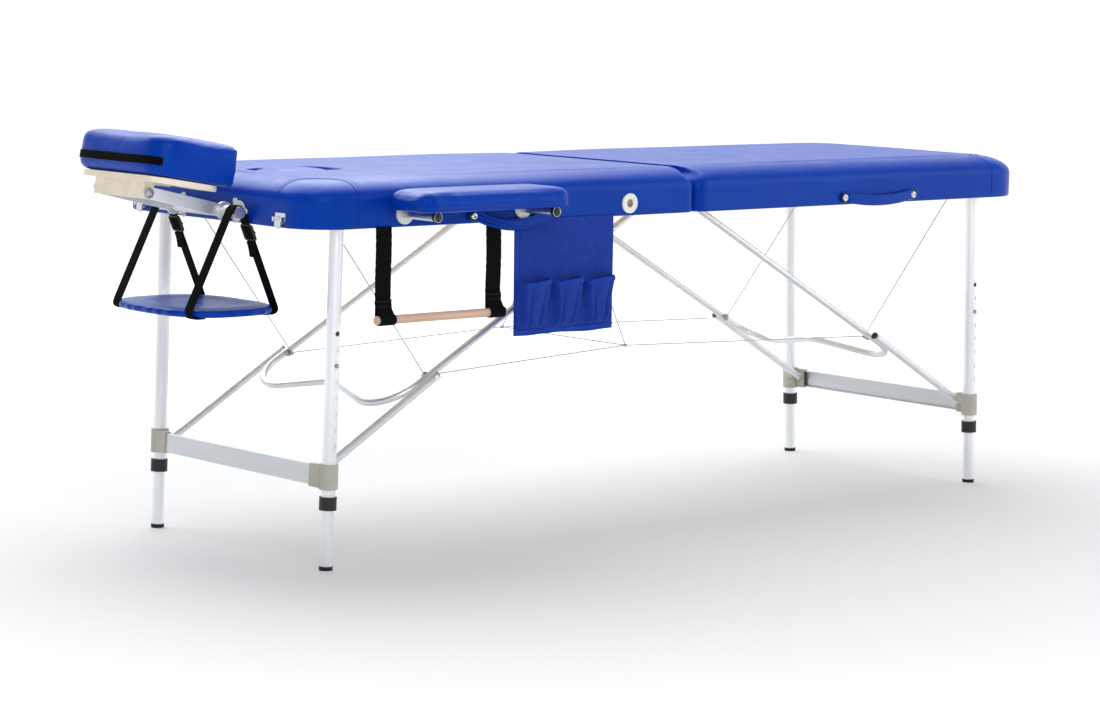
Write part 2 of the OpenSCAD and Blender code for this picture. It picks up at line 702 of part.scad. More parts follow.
// Bent tube of the brace, in its own plane: x along the arms from their pivots, y across the table
module bend(a) rotate_extrude(angle = a) children();
module brace(e) color(alu) at_end(e) translate([brace_x, 0, brace_z]) rotate([0, arm_a, 0]) {
    far_x = arm_l + bend_start;
    dip_y = dip_r * sin(dip_a);
    turn = [far_x + bend_r * cos(dip_a), brace_y - bend_r - bend_r * sin(dip_a)];
    run_l = (turn.y - dip_y) / cos(dip_a);
    dip = turn - run_l * [sin(dip_a), cos(dip_a)];
    both_sides() {
        difference() {
            translate([-arm_past, brace_y, 0]) rotate([0, 90, 0])
                cylinder(d = brace_d, h = far_x + arm_past - slip);
            translate([0, brace_y, 0]) across(pivot_d + 2 * run, brace_d + 2 * over);
        }
        translate([far_x, brace_y - bend_r, 0]) rotate(-dip_a) bend(90 + dip_a)
            translate([bend_r, 0]) circle(d = brace_d);
        translate([turn.x, turn.y, 0]) rotate(-dip_a) rotate([90, 0, 0])
            translate([0, 0, slip]) cylinder(d = brace_d, h = run_l - 2 * slip);
        translate([arm_l, brace_y - brace_d / 2 - lug_t, 0]) difference() {
            outward(cable_lug_d, lug_t + 2);
            translate([0, -over, 0]) outward(cable_d + 1, lug_t + over);
        }
    }
    translate([dip.x + dip_r * cos(dip_a), 0, 0]) rotate(180 - dip_a) bend(2 * dip_a)
        translate([dip_r, 0]) circle(d = brace_d);
}
// Ends of the brace arms past their pivots, and the lugs that the cables hook into
arm_past = 10;
lug_t = 3.5;
cable_lug_d = 16;

// Steel cables: spans between crimps, each span stopping just short of what it is crimped to
crimp_r = 1.25 * cable_d;
module cable(p, q, p_gap, q_gap) {
    v = q - p;
    l = norm(v);
    translate(p + v * p_gap / l) rotate([0, acos(v.z / l), atan2(v.y, v.x)])
        cylinder(d = cable_d, h = l - p_gap - q_gap, $fn = 16);
}
cable_y = brace_y - brace_d / 2 - lug_t - crimp_r - seat;
kink_z = 348;
kink_x = -70;
kink_in = 20;
hook_in = 4;
anchor_x = -62;
anchor_d = 14;
anchor_h = 6;
eye_d = 8;
eye_h = 4;
module cables() color(steel) translate([seam_x, 0, 0]) {
    gap = crimp_r + slip;
    drop = 0.4 * cable_d;
    kink = [kink_x, cable_y - kink_in, kink_z];
    both_sides() {
        for (s = [-1, 1]) {
            hook = [s * (elbow_x - hook_in), cable_y, elbow_z];
            eye_x = half_end(s) - leg_inset;
            cable(hook, kink, gap, gap);
            cable(hook, [s * eye_x, cable_y, deck_z - eye_h - drop], gap, 0);
            translate(hook) sphere(crimp_r);
            translate([s * eye_x, cable_y, deck_z - eye_h]) cylinder(d = eye_d, h = eye_h);
        }
        cable(kink, [anchor_x, anchor_d / 4, deck_z - anchor_h - drop], gap, 0);
        translate(kink) sphere(crimp_r);
    }
    cable([kink.x, -kink.y, kink.z], kink, gap, gap);
    translate([anchor_x, 0, deck_z - anchor_h]) cylinder(d = anchor_d, h = anchor_h);
}

// Butt hinges under the seam: head knuckles at both ends of each, a foot knuckle in the middle
knuckle_l = 24;
knuckle_r = 3;
hinge_pin_d = 3;
leaf_in = 2.5;
leaf_l = 24;
leaf_t = 2;
module hinge_leaf(own, other) difference() {
    union() {
        translate([leaf_in, -1.5 * knuckle_l, top_z - leaf_t]) cube([leaf_l, 3 * knuckle_l, leaf_t]);
        for (k = own) translate([0, k * knuckle_l, fold_z]) knuckle();
    }
    for (k = other) translate([0, k * knuckle_l, fold_z])
        cube([4 * knuckle_r, knuckle_l + 2 * slip, knuckle_l], center = true);
    translate([0, 0, fold_z]) across(hinge_pin_d + 2 * run, 3 * knuckle_l + 2 * over);
}
module hinge_pins() color(steel) translate([seam_x, 0, fold_z]) both_sides() translate([0, hinge_y, 0])
    across(hinge_pin_d, 3 * knuckle_l);
module knuckle() {
    across(2 * knuckle_r, knuckle_l);
    translate([0, -knuckle_l / 2, knuckle_r - leaf_t]) cube([leaf_in + over, knuckle_l, leaf_t]);
}

// Carry handle: a padded strap that droops between its two screws
handle_up = 14;
handle_end = 10;
washer_d = 15;
washer_t = 1.5;
screw_d = 9;
screw_t = 2.5;
module handle(e, x) color(vinyl_blue) at_end(e)
    translate([x, -hang_y - (e < 0 ? strap_t + seat : 0), top_z + handle_up]) {
    reach = handle_l / 2 + handle_end;
    tab = 1 - 2 * handle_end / reach;
    stations = concat([-1, -tab], [for (i = [-4:4]) 0.21 * i * tab], [tab, 1]);
    skin([for (u = stations) let (t = abs(u) < tab ? handle_t : handle_t / 2)
        [for (q = oval(handle_w, t, 10))
            [u * reach, -t / 2 - q.y, handle_drop[e < 0 ? 0 : 1] * (min(1, pow(u / tab, 2)) - 1) + q.x]]]);
    for (s = [-1, 1]) translate([s * handle_l / 2, -handle_t / 2 - slip, 0]) rotate([90, 0, 0]) {
        cylinder(d = washer_d, h = washer_t);
        translate([0, 0, washer_t + slip]) cylinder(d = screw_d, h = screw_t);
    }
}

// Case latches on the head end and their catches on the foot end
latch_w = 30;
latch_h = 22;
latch_up = 4;
latch_t = 2;
latch_pin_d = 3;
latch_pin_x = 6;
ear_w = 4;
ear_h = 8;
lever_w = 19;
lever_t = 2.4;
hook_w = 10;
hook_h = 4;
module latch_plates() color(steel) at_end(-1) both_sides() translate([end_x, latch_y, top_z + latch_up]) {
    translate([0, -latch_w / 2, 0]) cube([latch_t, latch_w, latch_h]);
    for (s = [-1, 1]) translate([0, s * (latch_w / 2 - 3), latch_h / 2]) difference() {
        translate([latch_t, -ear_w / 2, -ear_h / 2]) cube([ear_h, ear_w, ear_h]);
        translate([latch_pin_x, 0, 0]) across(latch_pin_d + 2 * run, ear_w + 2 * over);
    }
}
module latch(s) color(steel) at_end(-1) at_side(s)
    translate([end_x + latch_pin_x, latch_y, top_z + latch_up + latch_h / 2]) {
        lever_h = latch_h / 2 + 2;
        across(latch_pin_d, latch_w - 2);
        across(latch_pin_d + 2.5, lever_w);
        translate([0, -lever_w / 2, -lever_h]) cube([lever_t, lever_w, lever_h]);
        translate([0, -hook_w / 2, -lever_h - hook_h]) cube([lever_t, hook_w, hook_h + 1]);
    }
catch_up = 1;
catch_h = 16;
catch_w = 14;
catch_out = 4;
module latch_catches() color(steel) at_end(1) both_sides()
    translate([half_end(1), latch_y, top_z + catch_up]) {
    translate([0, -latch_w / 2, 0]) cube([latch_t, latch_w, catch_h]);
    translate([latch_t, -catch_w / 2, 10]) cube([catch_out, catch_w, 3]);
}

// Face cradle: base with two rods, two swinging arms, the tilting plate and its cushion
module cradle_base() color(alu) at_end(-1) {
    both_sides() translate([end_x - rod_in, rod_y, rod_z]) rotate([0, 90, 0])
        cylinder(d = rod_d, h = base_out + rod_in);
    translate([base_x, 0, rod_z]) across(base_d, base_l);
}
arm_eye = 6;
module cradle_arms() color(alu) at_end(-1) translate([base_x, 0, rod_z]) rotate([0, -cradle_rise, 0]) {
    both_sides() translate([0, cradle_arm_y, 0]) difference() {
        union() {
            across(base_d + 2 * arm_eye, cradle_arm_t);
            translate([0, -cradle_arm_t / 2, -cradle_arm_w / 2])
                cube([cradle_arm_l, cradle_arm_t, cradle_arm_w]);
            translate([cradle_arm_l, 0, 0]) across(cradle_arm_w, cradle_arm_t);
        }
        across(base_d + 2 * run, cradle_arm_t + 2 * over);
    }
    translate([cradle_arm_l, 0, 0]) across(pivot_d, 2 * cradle_arm_y + cradle_arm_t + 3 * pin_past);
}
module in_cradle() translate([seam_x - cradle_x, 0, cradle_z]) rotate([0, cradle_tilt, 0]) children();
// Plate, set in from the cushion's outline, and the cross board that the arms' pin goes through
plate_in = [6, 12];
plate_r = 40;
board_half = 11;
module cradle_plate() color(ply) in_cradle() {
    board_w = 2 * (cradle_arm_y - cradle_arm_t / 2 - side_play);
    l = cushion_l - 2 * plate_in.x;
    w = cushion_w - 2 * plate_in.y;
    gap = breath_w - 16;
    gap_x = cushion_bar - cushion_out + plate_in.x;
    translate([0, 0, plate_up]) linear_extrude(plate_t) difference() {
        translate([plate_in.x - cushion_out, -w / 2]) {
            translate([plate_r, 0]) square([l - 2 * plate_r, w]);
            translate([0, plate_r]) square([l, w - 2 * plate_r]);
            for (x = [plate_r, l - plate_r], y = [plate_r, w - plate_r]) translate([x, y]) circle(plate_r);
        }
        translate([gap_x, 0]) circle(d = gap);
        translate([gap_x, -gap / 2]) square([cushion_l, gap]);
    }
    difference() {
        translate([-board_half, -board_w / 2, -board_half])
            cube([2 * board_half, board_w, plate_up + board_half]);
        across(pivot_d + 2 * run, board_w + 2 * over);
    }
}
module cradle_cushion() color(vinyl_blue) in_cradle() translate([0, 0, seat]) skin(cushion_rings());

// Arm sling: two straps on each side from a loop on the base tube to a padded shelf
module sling_straps() color(black) at_end(-1) both_sides() translate([base_x, strap_y, rod_z])
    rotate([90, 0, 0]) linear_extrude(strap_w, center = true) difference() {
        union() {
            circle(d = base_d + 2 * slip + 2 * strap_t);
            for (x = [-strap_in, strap_out]) strap_run(x, rod_z - shelf_top - seat);
        }
        circle(d = base_d + 2 * slip);
    }
module strap_run(x, drop) {
    h = norm([x, drop]) - strap_t / 2 * abs(x) / drop;
    rotate(atan2(x, drop)) translate([-strap_t / 2, -h]) square([strap_t, h]);
}
// Sliders on the straps next to the table
buckle_h = 28;
buckle_t = 6;
buckle_rim = 3;
buckle_drop = 48;
module sling_buckles() color(black) at_end(-1) both_sides() translate([base_x, strap_y, rod_z])
    rotate([0, atan2(strap_in, rod_z - shelf_top - seat), 0]) translate([0, 0, -buckle_drop]) difference() {
        cube([buckle_t, strap_w + 2 * buckle_rim, buckle_h], center = true);
        cube([strap_t + 2 * slip, strap_w + 2 * slip, buckle_h + 2 * over], center = true);
    }
module sling_shelf() color(vinyl_blue) at_end(-1)
    translate([base_x - strap_in - strap_edge, 0, shelf_z])
        soft_board(shelf_l, shelf_w, shelf_r, shelf_h, shelf_edge, 0);

// Padded board with a flat underside and a rounded, crowned top
module soft_board(l, w, r, h, er, d) {
    sides = pad_rings(l, w, r, r, h - 1, er, d);
    edge = flat(sides[len(sides) - 1]);
    core = [for (p = edge) [l / 2, 0] + 0.35 * (p - [l / 2, 0])];
    skin(concat([ring(l, w, r, r, 3, 0, d)], [for (i = [1:len(sides) - 1]) sides[i]],
        [for (t = [0.5, 1]) between(edge, core, t, h - 1 + t * (2 - t))]));
}

// Gap to the sockets, radius of the upper edge, and how far the long sides draw in
armrest_gap = 2;
armrest_edge = 12;
armrest_draw = 1.5;
module armrest_pad(s) color(vinyl_blue) at_end(-1) at_side(s)
    translate([armrest_x - armrest_l, half_w + flange_t + armrest_gap + armrest_w / 2, arm_rest_z])
        soft_board(armrest_l, armrest_w, armrest_r, armrest_h, armrest_edge, armrest_draw);
module armrest_rods(s) color(alu) at_end(-1) at_side(s) for (x = [socket_x[0], socket_x[1]])
    translate([x, half_w - vinyl_t - rail_t, socket_z]) {
        outward(rod_d, armrest_rod + vinyl_t + rail_t);
        translate([0, armrest_rod + vinyl_t + rail_t, 0]) outward(rod_d + 2 * rod_cap, rod_cap_l);
    }

// Roll holder: two hanging straps with a loop each, and the dowel through the loops
module roll_straps() color(black) at_end(-1) for (x = roll_x)
    translate([x, -dowel_y, dowel_z]) rotate([0, 0, 90]) difference() {
        loop_r = dowel_d / 2 + run + strap_t;
        union() {
            across(2 * loop_r, roll_w);
            translate([loop_r - strap_t, -roll_w / 2, 0]) cube([strap_t, roll_w, dowel_drop + strap_top]);
        }
        across(dowel_d + 2 * run, roll_w + 2 * over);
    }
module roll_dowel() color([0.83, 0.62, 0.46]) at_end(-1)
    translate([(roll_x[0] + roll_x[1]) / 2, -dowel_y, dowel_z]) rotate([0, 90, 0])
        cylinder(d = dowel_d, h = dowel_l, center = true);

// Pouch: a hanging cloth back with a row of gathered pockets sewn to it
cloth_t = 1.5;
pouch_up = 3;
pocket_side = 8;
pocket_up = 12;
function gather(u, v) = pocket_out * pow(abs(sin(180 * pocket_n * u)), 0.7) * (0.25 + 0.75 * v)
    * (1 + 0.18 * sin(540 * pocket_n * u));
module pouch() color(cloth_blue) at_end(-1) translate([pouch_x - pouch_w, -hang_y, top_z - pouch_h]) {
    translate([0, -cloth_t, 0]) cube([pouch_w, cloth_t, pouch_h + pouch_up]);
    nu = 12 * pocket_n;
    nv = 5;
    m = nu + 1;
    grid = [for (v = [0:nv]) for (u = [0:nu])
        [pocket_side + (pouch_w - 2 * pocket_side) * u / nu, -cloth_t - slip - gather(u / nu, v / nv),
            pocket_up + pocket_h * v / nv]];
    front = [for (p = grid) p - [0, cloth_t, 0]];
    k = len(grid);
    sheet = [for (v = [0:nv - 1]) for (u = [0:nu - 1]) let (a = v * m + u)
        each [[a, a + 1, a + m], [a + 1, a + m + 1, a + m],
              [k + a, k + a + m, k + a + 1], [k + a + 1, k + a + m, k + a + m + 1]]];
    ends = [for (v = [0:nv - 1]) let (a = v * m, b = v * m + nu)
        each [[a, a + m, k + a], [a + m, k + a + m, k + a], [b, k + b, b + m], [b + m, k + b, k + b + m]]];
    hems = [for (u = [0:nu - 1]) let (a = u, b = nv * m + u)
        each [[a, k + a, a + 1], [a + 1, k + a, k + a + 1], [b, b + 1, k + b], [b + 1, k + b + 1, k + b]]];
    polyhedron(concat(grid, front), concat(sheet, ends, hems));
}

frame(-1);  // head_frame
deck(-1);  // head_deck
top_pad(-1);  // head_pad
skirt(-1);  // head_skirt
sockets();
handle(-1, head_handle_x);  // head_handle
latch_plates();
brackets(-1);  // head_brackets
pouch();
hinge_pins();
cables();
face_plug();
latch(-1);  // latch_near
latch(1);  // latch_far
frame(1);  // foot_frame
deck(1);  // foot_deck
top_pad(1);  // foot_pad
skirt(1);  // foot_skirt
handle(1, foot_handle_x);  // foot_handle
latch_catches();
brackets(1);  // foot_brackets
leg_tubes(-1);  // head_leg_tubes
leg_clamps(-1);  // head_leg_clamps
cross_bar(-1);  // head_cross_bar
collars(-1);  // head_collars
leg_tubes(1);  // foot_leg_tubes
leg_clamps(1);  // foot_leg_clamps
cross_bar(1);  // foot_cross_bar
collars(1);  // foot_collars
lower_leg(-1, -1);  // lower_leg_head_near
lower_leg(-1, 1);  // lower_leg_head_far
lower_leg(1, -1);  // lower_leg_foot_near
lower_leg(1, 1);  // lower_leg_foot_far
tip(-1, -1);  // tip_head_near
tip(-1, 1);  // tip_head_far
tip(1, -1);  // tip_foot_near
tip(1, 1);  // tip_foot_far
button(-1, -1);  // button_head_near
button(-1, 1);  // button_head_far
button(1, -1);  // button_foot_near
button(1, 1);  // button_foot_far
struts(-1);  // head_struts
strut_plugs(-1);  // head_strut_plugs
struts(1);  // foot_struts
strut_plugs(1);  // foot_strut_plugs
brace(-1);  // head_brace
brace(1);  // foot_brace
cradle_base();
cradle_arms();
cradle_plate();
cradle_cushion();
sling_straps();
sling_buckles();
sling_shelf();
armrest_pad(-1);  // armrest_near_pad
armrest_rods(-1);  // armrest_near_rods
armrest_pad(1);  // armrest_far_pad
armrest_rods(1);  // armrest_far_rods
roll_straps();
roll_dowel();
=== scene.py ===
import bpy
import numpy as np
from mathutils import Matrix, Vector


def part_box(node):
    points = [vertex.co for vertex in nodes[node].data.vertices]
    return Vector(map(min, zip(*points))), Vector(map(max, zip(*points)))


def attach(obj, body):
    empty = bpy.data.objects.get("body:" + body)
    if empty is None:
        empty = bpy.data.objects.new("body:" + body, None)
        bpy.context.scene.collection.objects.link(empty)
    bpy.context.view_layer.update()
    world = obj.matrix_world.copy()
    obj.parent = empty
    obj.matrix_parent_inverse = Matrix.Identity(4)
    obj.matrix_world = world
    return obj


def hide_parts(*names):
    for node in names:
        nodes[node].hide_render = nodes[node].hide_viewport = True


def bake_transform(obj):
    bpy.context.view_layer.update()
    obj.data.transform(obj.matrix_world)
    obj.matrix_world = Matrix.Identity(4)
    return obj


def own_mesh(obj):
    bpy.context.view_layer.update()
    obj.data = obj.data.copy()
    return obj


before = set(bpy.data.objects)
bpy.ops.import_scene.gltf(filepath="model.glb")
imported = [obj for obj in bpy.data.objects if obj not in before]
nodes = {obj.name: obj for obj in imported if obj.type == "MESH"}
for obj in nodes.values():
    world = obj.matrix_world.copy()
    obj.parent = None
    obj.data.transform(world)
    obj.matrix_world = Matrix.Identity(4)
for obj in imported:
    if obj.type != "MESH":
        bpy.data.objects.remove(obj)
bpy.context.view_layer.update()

seam_x = 0.5 * (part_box("hinge_pins")[0].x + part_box("hinge_pins")[1].x)

# Studio: a pale floor that runs out to white, a large soft light above and two soft lights in front.
# The camera stands at the near head corner of the table, a little above the top, with a long lens.
scene = bpy.context.scene
scene.view_settings.view_transform = "Standard"
yaw, pitch, roll = np.radians([40.96, 6.892, 1.002])
forward = np.array([np.sin(yaw) * np.cos(pitch), np.cos(yaw) * np.cos(pitch), -np.sin(pitch)])
level = np.array([np.cos(yaw), -np.sin(yaw), 0.0])
above = np.cross(level, forward)
right = np.cos(roll) * level + np.sin(roll) * above
upward = np.cos(roll) * above - np.sin(roll) * level


def stand(name, data, place, *axes):
    """Stands a camera or a lamp at place, with these as its own axes."""
    stood = bpy.data.objects.new(name, data)
    stood.matrix_world = Matrix.Translation(place) @ Matrix(np.column_stack(axes).tolist()).to_4x4()
    scene.collection.objects.link(stood)
    return stood


def unit(vectors):
    """Vectors drawn to a length of one."""
    vectors = np.asarray(vectors, float)
    return vectors / np.linalg.norm(vectors, axis=-1, keepdims=True)


camera = bpy.data.cameras.new("table_camera")
camera.lens, camera.sensor_width, camera.sensor_fit = 103.506, 36.0, "HORIZONTAL"
camera.shift_x, camera.shift_y = -0.00086, -0.00705
scene.camera = stand("table_camera", camera, (seam_x - 4.23439, -4.76304, 1.07904), right, upward, -forward)
light_aim = (0.0, 0.0, 0.5)
for name, place, size, power in (("light_above", (0.3, 1.5, 3.4), 4.2, 190.0),
                                 ("light_front", (-2.6, -3.6, 2.6), 2.6, 70.0),
                                 ("light_side", (3.2, -3.0, 1.8), 2.4, 34.0)):
    lamp = bpy.data.lights.new(name, "AREA")
    lamp.size, lamp.energy = size, power
    away = unit(np.subtract(place, light_aim))
    across = unit(np.cross((0.0, 1.0, 0.01), away))
    stand(name, lamp, place, across, np.cross(away, across), away)


def fade(tree, coordinates, measure, other, **stops):
    """A value that runs smoothly between stops with a measure of the coordinates, such as their length."""
    measured = tree.nodes.new("ShaderNodeVectorMath")
    measured.operation = measure
    measured.inputs[1].default_value = other
    ramp = tree.nodes.new("ShaderNodeMapRange")
    ramp.interpolation_type = "SMOOTHSTEP"
    for socket, value in stops.items():
        ramp.inputs[socket.replace("_", " ")].default_value = value
    tree.links.new(tree.nodes.new("ShaderNodeTexCoord").outputs[coordinates], measured.inputs[0])
    tree.links.new(measured.outputs["Value"], ramp.inputs["Value"])
    return ramp.outputs["Result"]


scene.world = bpy.data.worlds.new("studio_air")
scene.world.use_nodes = True
air = scene.world.node_tree
air_shade = air.nodes["Background"].inputs
air_seen = air.nodes.new("ShaderNodeLightPath").outputs["Is Camera Ray"]
air_tint = air.nodes.new("ShaderNodeMix")
air_tint.data_type = "RGBA"
air_tint.inputs[6].default_value = (0.93, 0.98, 1.04, 1.0)
air_tint.inputs[7].default_value = (1.0, 1.0, 1.0, 1.0)
air_least = air.nodes.new("ShaderNodeMath")
air_least.operation = "MAXIMUM"
air_glow = fade(air, "Generated", "DOT_PRODUCT", (-0.52, -0.60, 0.61),
                From_Min=-0.55, From_Max=0.55, To_Min=1.02, To_Max=0.30)
for source, target in ((air_seen, air_tint.inputs[0]), (air_tint.outputs[2], air_shade["Color"]),
                       (air_glow, air_least.inputs[0]), (air_seen, air_least.inputs[1]),
                       (air_least.outputs["Value"], air_shade["Strength"])):
    air.links.new(source, target)


def mesh_piece(name, points, faces):
    """A smooth mesh piece in the scene."""
    mesh = bpy.data.meshes.new(name)
    mesh.from_pydata(points.tolist(), [], faces)
    mesh.shade_smooth()
    piece = bpy.data.objects.new(name, mesh)
    scene.collection.objects.link(piece)
    return piece


def surface(name, points, close_u=False, close_v=False, caps=(), uv=None):
    """A mesh piece through a grid points[v, u, xyz]: one quad between four neighbours. close_u joins the last
    column to the first and close_v the last row to the first. caps names the end rows, 0 or -1, that are
    closed by a fan to their own middle. uv, the same grid in metres, becomes the piece's UV map."""
    rows, columns = points.shape[:2]
    ids = np.arange(rows * columns).reshape(rows, columns)
    low = ids if close_v else ids[:-1]
    high = np.roll(ids, -1, 0) if close_v else ids[1:]
    a, b = (low, np.roll(low, -1, 1)) if close_u else (low[:, :-1], low[:, 1:])
    d, c = (high, np.roll(high, -1, 1)) if close_u else (high[:, :-1], high[:, 1:])
    faces = np.stack([a, b, c, d], -1).reshape(-1, 4).tolist()
    flat = points.reshape(-1, 3)
    for row in caps:
        fan = np.stack([np.roll(ids[row], -1), ids[row], np.full(columns, len(flat))], -1)
        flat = np.vstack([flat, points[row].mean(0)])
        faces += (fan if row == 0 else fan[:, [1, 0, 2]]).tolist()
    piece = mesh_piece(name, flat, faces)
    if uv is not None:
        corners = np.zeros(len(piece.data.loops), np.int32)
        piece.data.loops.foreach_get("vertex_index", corners)
        values = np.zeros((len(flat), 2), np.float32)
        values[:rows * columns] = uv.reshape(-1, 2)
        piece.data.uv_layers.new(name="cut").data.foreach_set("uv", values[corners].ravel())
    return piece


def solid(name, rings, uv=None):
    """A closed mesh piece through rings of points, capped at both ends."""
    return surface(name, rings, close_u=True, caps=(0, -1), uv=uv)


floor_grid = np.meshgrid(np.linspace(-30.0, 30.0, 13), np.linspace(-30.0, 30.0, 13), [-0.0004])
floor = surface("floor", np.stack(floor_grid, -1)[:, :, 0])


def finish(name, colour, roughness, metallic=0.0, **sockets):
    """A named surface finish: a Principled shader with these plain values. colour is sRGB from 0 to 255, and
    is turned into linear light by the sRGB curve."""
    paint = bpy.data.materials.new(name)
    paint.use_nodes = True
    shader = paint.node_tree.nodes["Principled BSDF"]
    c = np.array(colour, float) / 255.0
    light = np.where(c <= 0.04045, c / 12.92, ((c + 0.055) / 1.055) ** 2.4)
    sockets.update(Base_Color=(*light, 1.0), Roughness=roughness, Metallic=metallic)
    for socket, value in sockets.items():
        shader.inputs[socket.replace("_", " ")].default_value = value
    return paint


floor_paint = finish("floor_paint", (186, 186, 186), 0.9, Emission_Color=(1.0, 1.0, 1.0, 1.0))
floor_tree = floor_paint.node_tree
floor_tree.links.new(fade(floor_tree, "Object", "LENGTH", (0.0, 0.0, 0.0),
                          From_Min=0.6, From_Max=3.6, To_Min=0.20, To_Max=0.80),
                     floor_tree.nodes["Principled BSDF"].inputs["Emission Strength"])
floor.data.materials.append(floor_paint)

# Timber frames: planed rails and ribs, glued and screwed, one ring for each half of the top.
# The decks on them are thin birch plywood, and the head half's deck has the face hole sawn out.
timber = finish("planed_timber", (222, 196, 156), 0.55)


def pattern(paint, kind, scale, stretch=(1.0, 1.0, 1.0), turn=(0.0, 0.0, 0.0), on="Object", **values):
    """A texture's value on the piece's own coordinates, stretched and turned by a Mapping."""
    tree = paint.node_tree
    place = tree.nodes.new("ShaderNodeTexCoord")
    mapping = tree.nodes.new("ShaderNodeMapping")
    mapping.inputs["Scale"].default_value = [scale * s for s in stretch]
    mapping.inputs["Rotation"].default_value = turn
    texture = tree.nodes.new("ShaderNodeTex" + kind)
    for key, value in values.items():
        if key in texture.inputs:
            texture.inputs[key].default_value = value
        else:
            setattr(texture, key, value)
    texture.inputs["Scale"].default_value = 1.0
    tree.links.new(place.outputs[on], mapping.inputs["Vector"])
    tree.links.new(mapping.outputs["Vector"], texture.inputs["Vector"])
    return texture.outputs["Distance" if kind == "Voronoi" else 0]


def relief(paint, height, depth):
    """Raises the surface by height times depth metres, on top of any relief that is there already."""
    tree = paint.node_tree
    normal = tree.nodes["Principled BSDF"].inputs["Normal"]
    bump = tree.nodes.new("ShaderNodeBump")
    bump.inputs["Strength"].default_value = 1.0
    bump.inputs["Distance"].default_value = depth
    if normal.is_linked:
        tree.links.new(normal.links[0].from_socket, bump.inputs["Normal"])
    tree.links.new(height, bump.inputs["Height"])
    tree.links.new(bump.outputs["Normal"], normal)


def spread(paint, socket, value, low, high, at=(0.3, 0.7)):
    """Drives a shader socket from a pattern: low where the pattern is at[0], high where it is at[1]. Colours
    are given as factors on the finish's own colour."""
    tree = paint.node_tree
    target = tree.nodes["Principled BSDF"].inputs[socket]
    ramp = tree.nodes.new("ShaderNodeValToRGB")
    stops = ramp.color_ramp.elements
    stops[0].position, stops[1].position = at
    base = np.array(target.default_value[:3]) if socket == "Base Color" else np.ones(3)
    for stop, factor in zip(stops, (low, high)):
        stop.color = (*np.minimum(1.0, base * factor), 1.0)
    tree.links.new(value, ramp.inputs["Fac"])
    tree.links.new(ramp.outputs["Color"], target)


def mottle(paint, socket, scale, detail, low, high, at=(0.3, 0.7), stretch=(1.0, 1.0, 1.0), **values):
    """Drives a shader socket from a noise."""
    spread(paint, socket, pattern(paint, "Noise", scale, stretch, Detail=detail, **values), low, high, at)


def roughen(paint, scale, detail, depth, stretch=(1.0, 1.0, 1.0)):
    """Raises the surface by a noise."""
    relief(paint, pattern(paint, "Noise", scale, stretch, Detail=detail), depth)


def wear(material, *names):
    """Gives CAD nodes that finish."""
    for name in names:
        nodes[name].data.materials.clear()
        nodes[name].data.materials.append(material)


timber_grain = pattern(timber, "Noise", 60.0, (0.12, 1.0, 1.0), Detail=6.0, Roughness=0.6)
spread(timber, "Base Color", timber_grain, 0.80, 1.06)
spread(timber, "Roughness", timber_grain, 0.62, 0.48)
roughen(timber, 420.0, 3.0, 0.00012, (0.05, 1.0, 1.0))
wear(timber, "head_frame", "foot_frame")
birch = finish("birch_ply", (241, 230, 208), 0.5)
mottle(birch, "Base Color", 34.0, 5.0, 0.93, 1.03, (0.35, 0.65), (0.1, 1.0, 1.0), Distortion=0.6)
roughen(birch, 500.0, 3.0, 0.0001, (0.06, 1.0, 1.0))
wear(birch, "head_deck", "foot_deck")

# Covers of the two halves: glossy upholstery vinyl with a fine grain, drawn over the foam and the frame and
# stapled under the rails. The outer corners have a half-moon gusset, sewn in with a row of stitches.
vinyl = finish("blue_vinyl", (3, 54, 158), 0.33, Specular_IOR_Level=0.26,
               Specular_Tint=(0.20, 0.50, 1.0, 1.0))
roughen(vinyl, 22.0, 2.0, 0.0009)
relief(vinyl, pattern(vinyl, "Voronoi", 700.0, feature="F1", Randomness=1.0), 0.00007)
mottle(vinyl, "Roughness", 14.0, 5.0, 0.30, 0.36)
mottle(vinyl, "Base Color", 5.0, 4.0, 0.93, 1.07)
head_far, foot_far, panel_near, panel_half, seam_in = 0.930, 0.966, 0.001, 0.310, 0.0135
corner_round, seam_round = 0.080, 0.022
top_under, deck_top, pad_top, roll_high, roll_in, pad_crown = 0.617, 0.668, 0.702, 0.0360, 0.0610, 0.003
hole_x, hole_long, hole_wide, hole_round, hole_lip = 0.740, 0.180, 0.112, 0.047, 0.007
side_ripple, top_ripple, hole_dip, hole_dip_wide, foot_fan = 0.0006, 0.0005, 0.0016, 0.02, 0.004
halves = ((-1, "head", head_far), (1, "foot", foot_far))
sides = ((-1, "near"), (1, "far"))


def run_of(path):
    """Distance along a path at each of its points."""
    return np.concatenate([[0.0], np.cumsum(np.linalg.norm(np.diff(path, axis=0), axis=1))])


def at_run(at, run, values):
    """Values that are known at the distances run, read off at other distances."""
    return np.stack([np.interp(at, run, column) for column in np.transpose(values)], -1)


def rounded_outline(x0, x1, half, r0, r1, count):
    """Points evenly spaced round a rectangle from x0 to x1 and -half to half, with corner radius r0 at x0 and
    r1 at x1, counter-clockwise from the middle of the x0 side; and their outward normals."""
    quarter = np.linspace(0.0, np.pi / 2, 40)
    middle = [[x0, 0.0, -1.0, 0.0]]
    dense = [middle]
    for cx, cy, r, start in ((x0 + r0, r0 - half, r0, np.pi), (x1 - r1, r1 - half, r1, 1.5 * np.pi),
                             (x1 - r1, half - r1, r1, 0.0), (x0 + r0, half - r0, r0, 0.5 * np.pi)):
        c, s = np.cos(start + quarter), np.sin(start + quarter)
        dense.append(np.stack([cx + r * c, cy + r * s, c, s], -1))
    dense = np.vstack([*dense, middle])
    run = run_of(dense[:, :2])
    found = at_run(np.linspace(0.0, run[-1], count, endpoint=False), run, dense)
    return found[:, :2], unit(found[:, 2:])


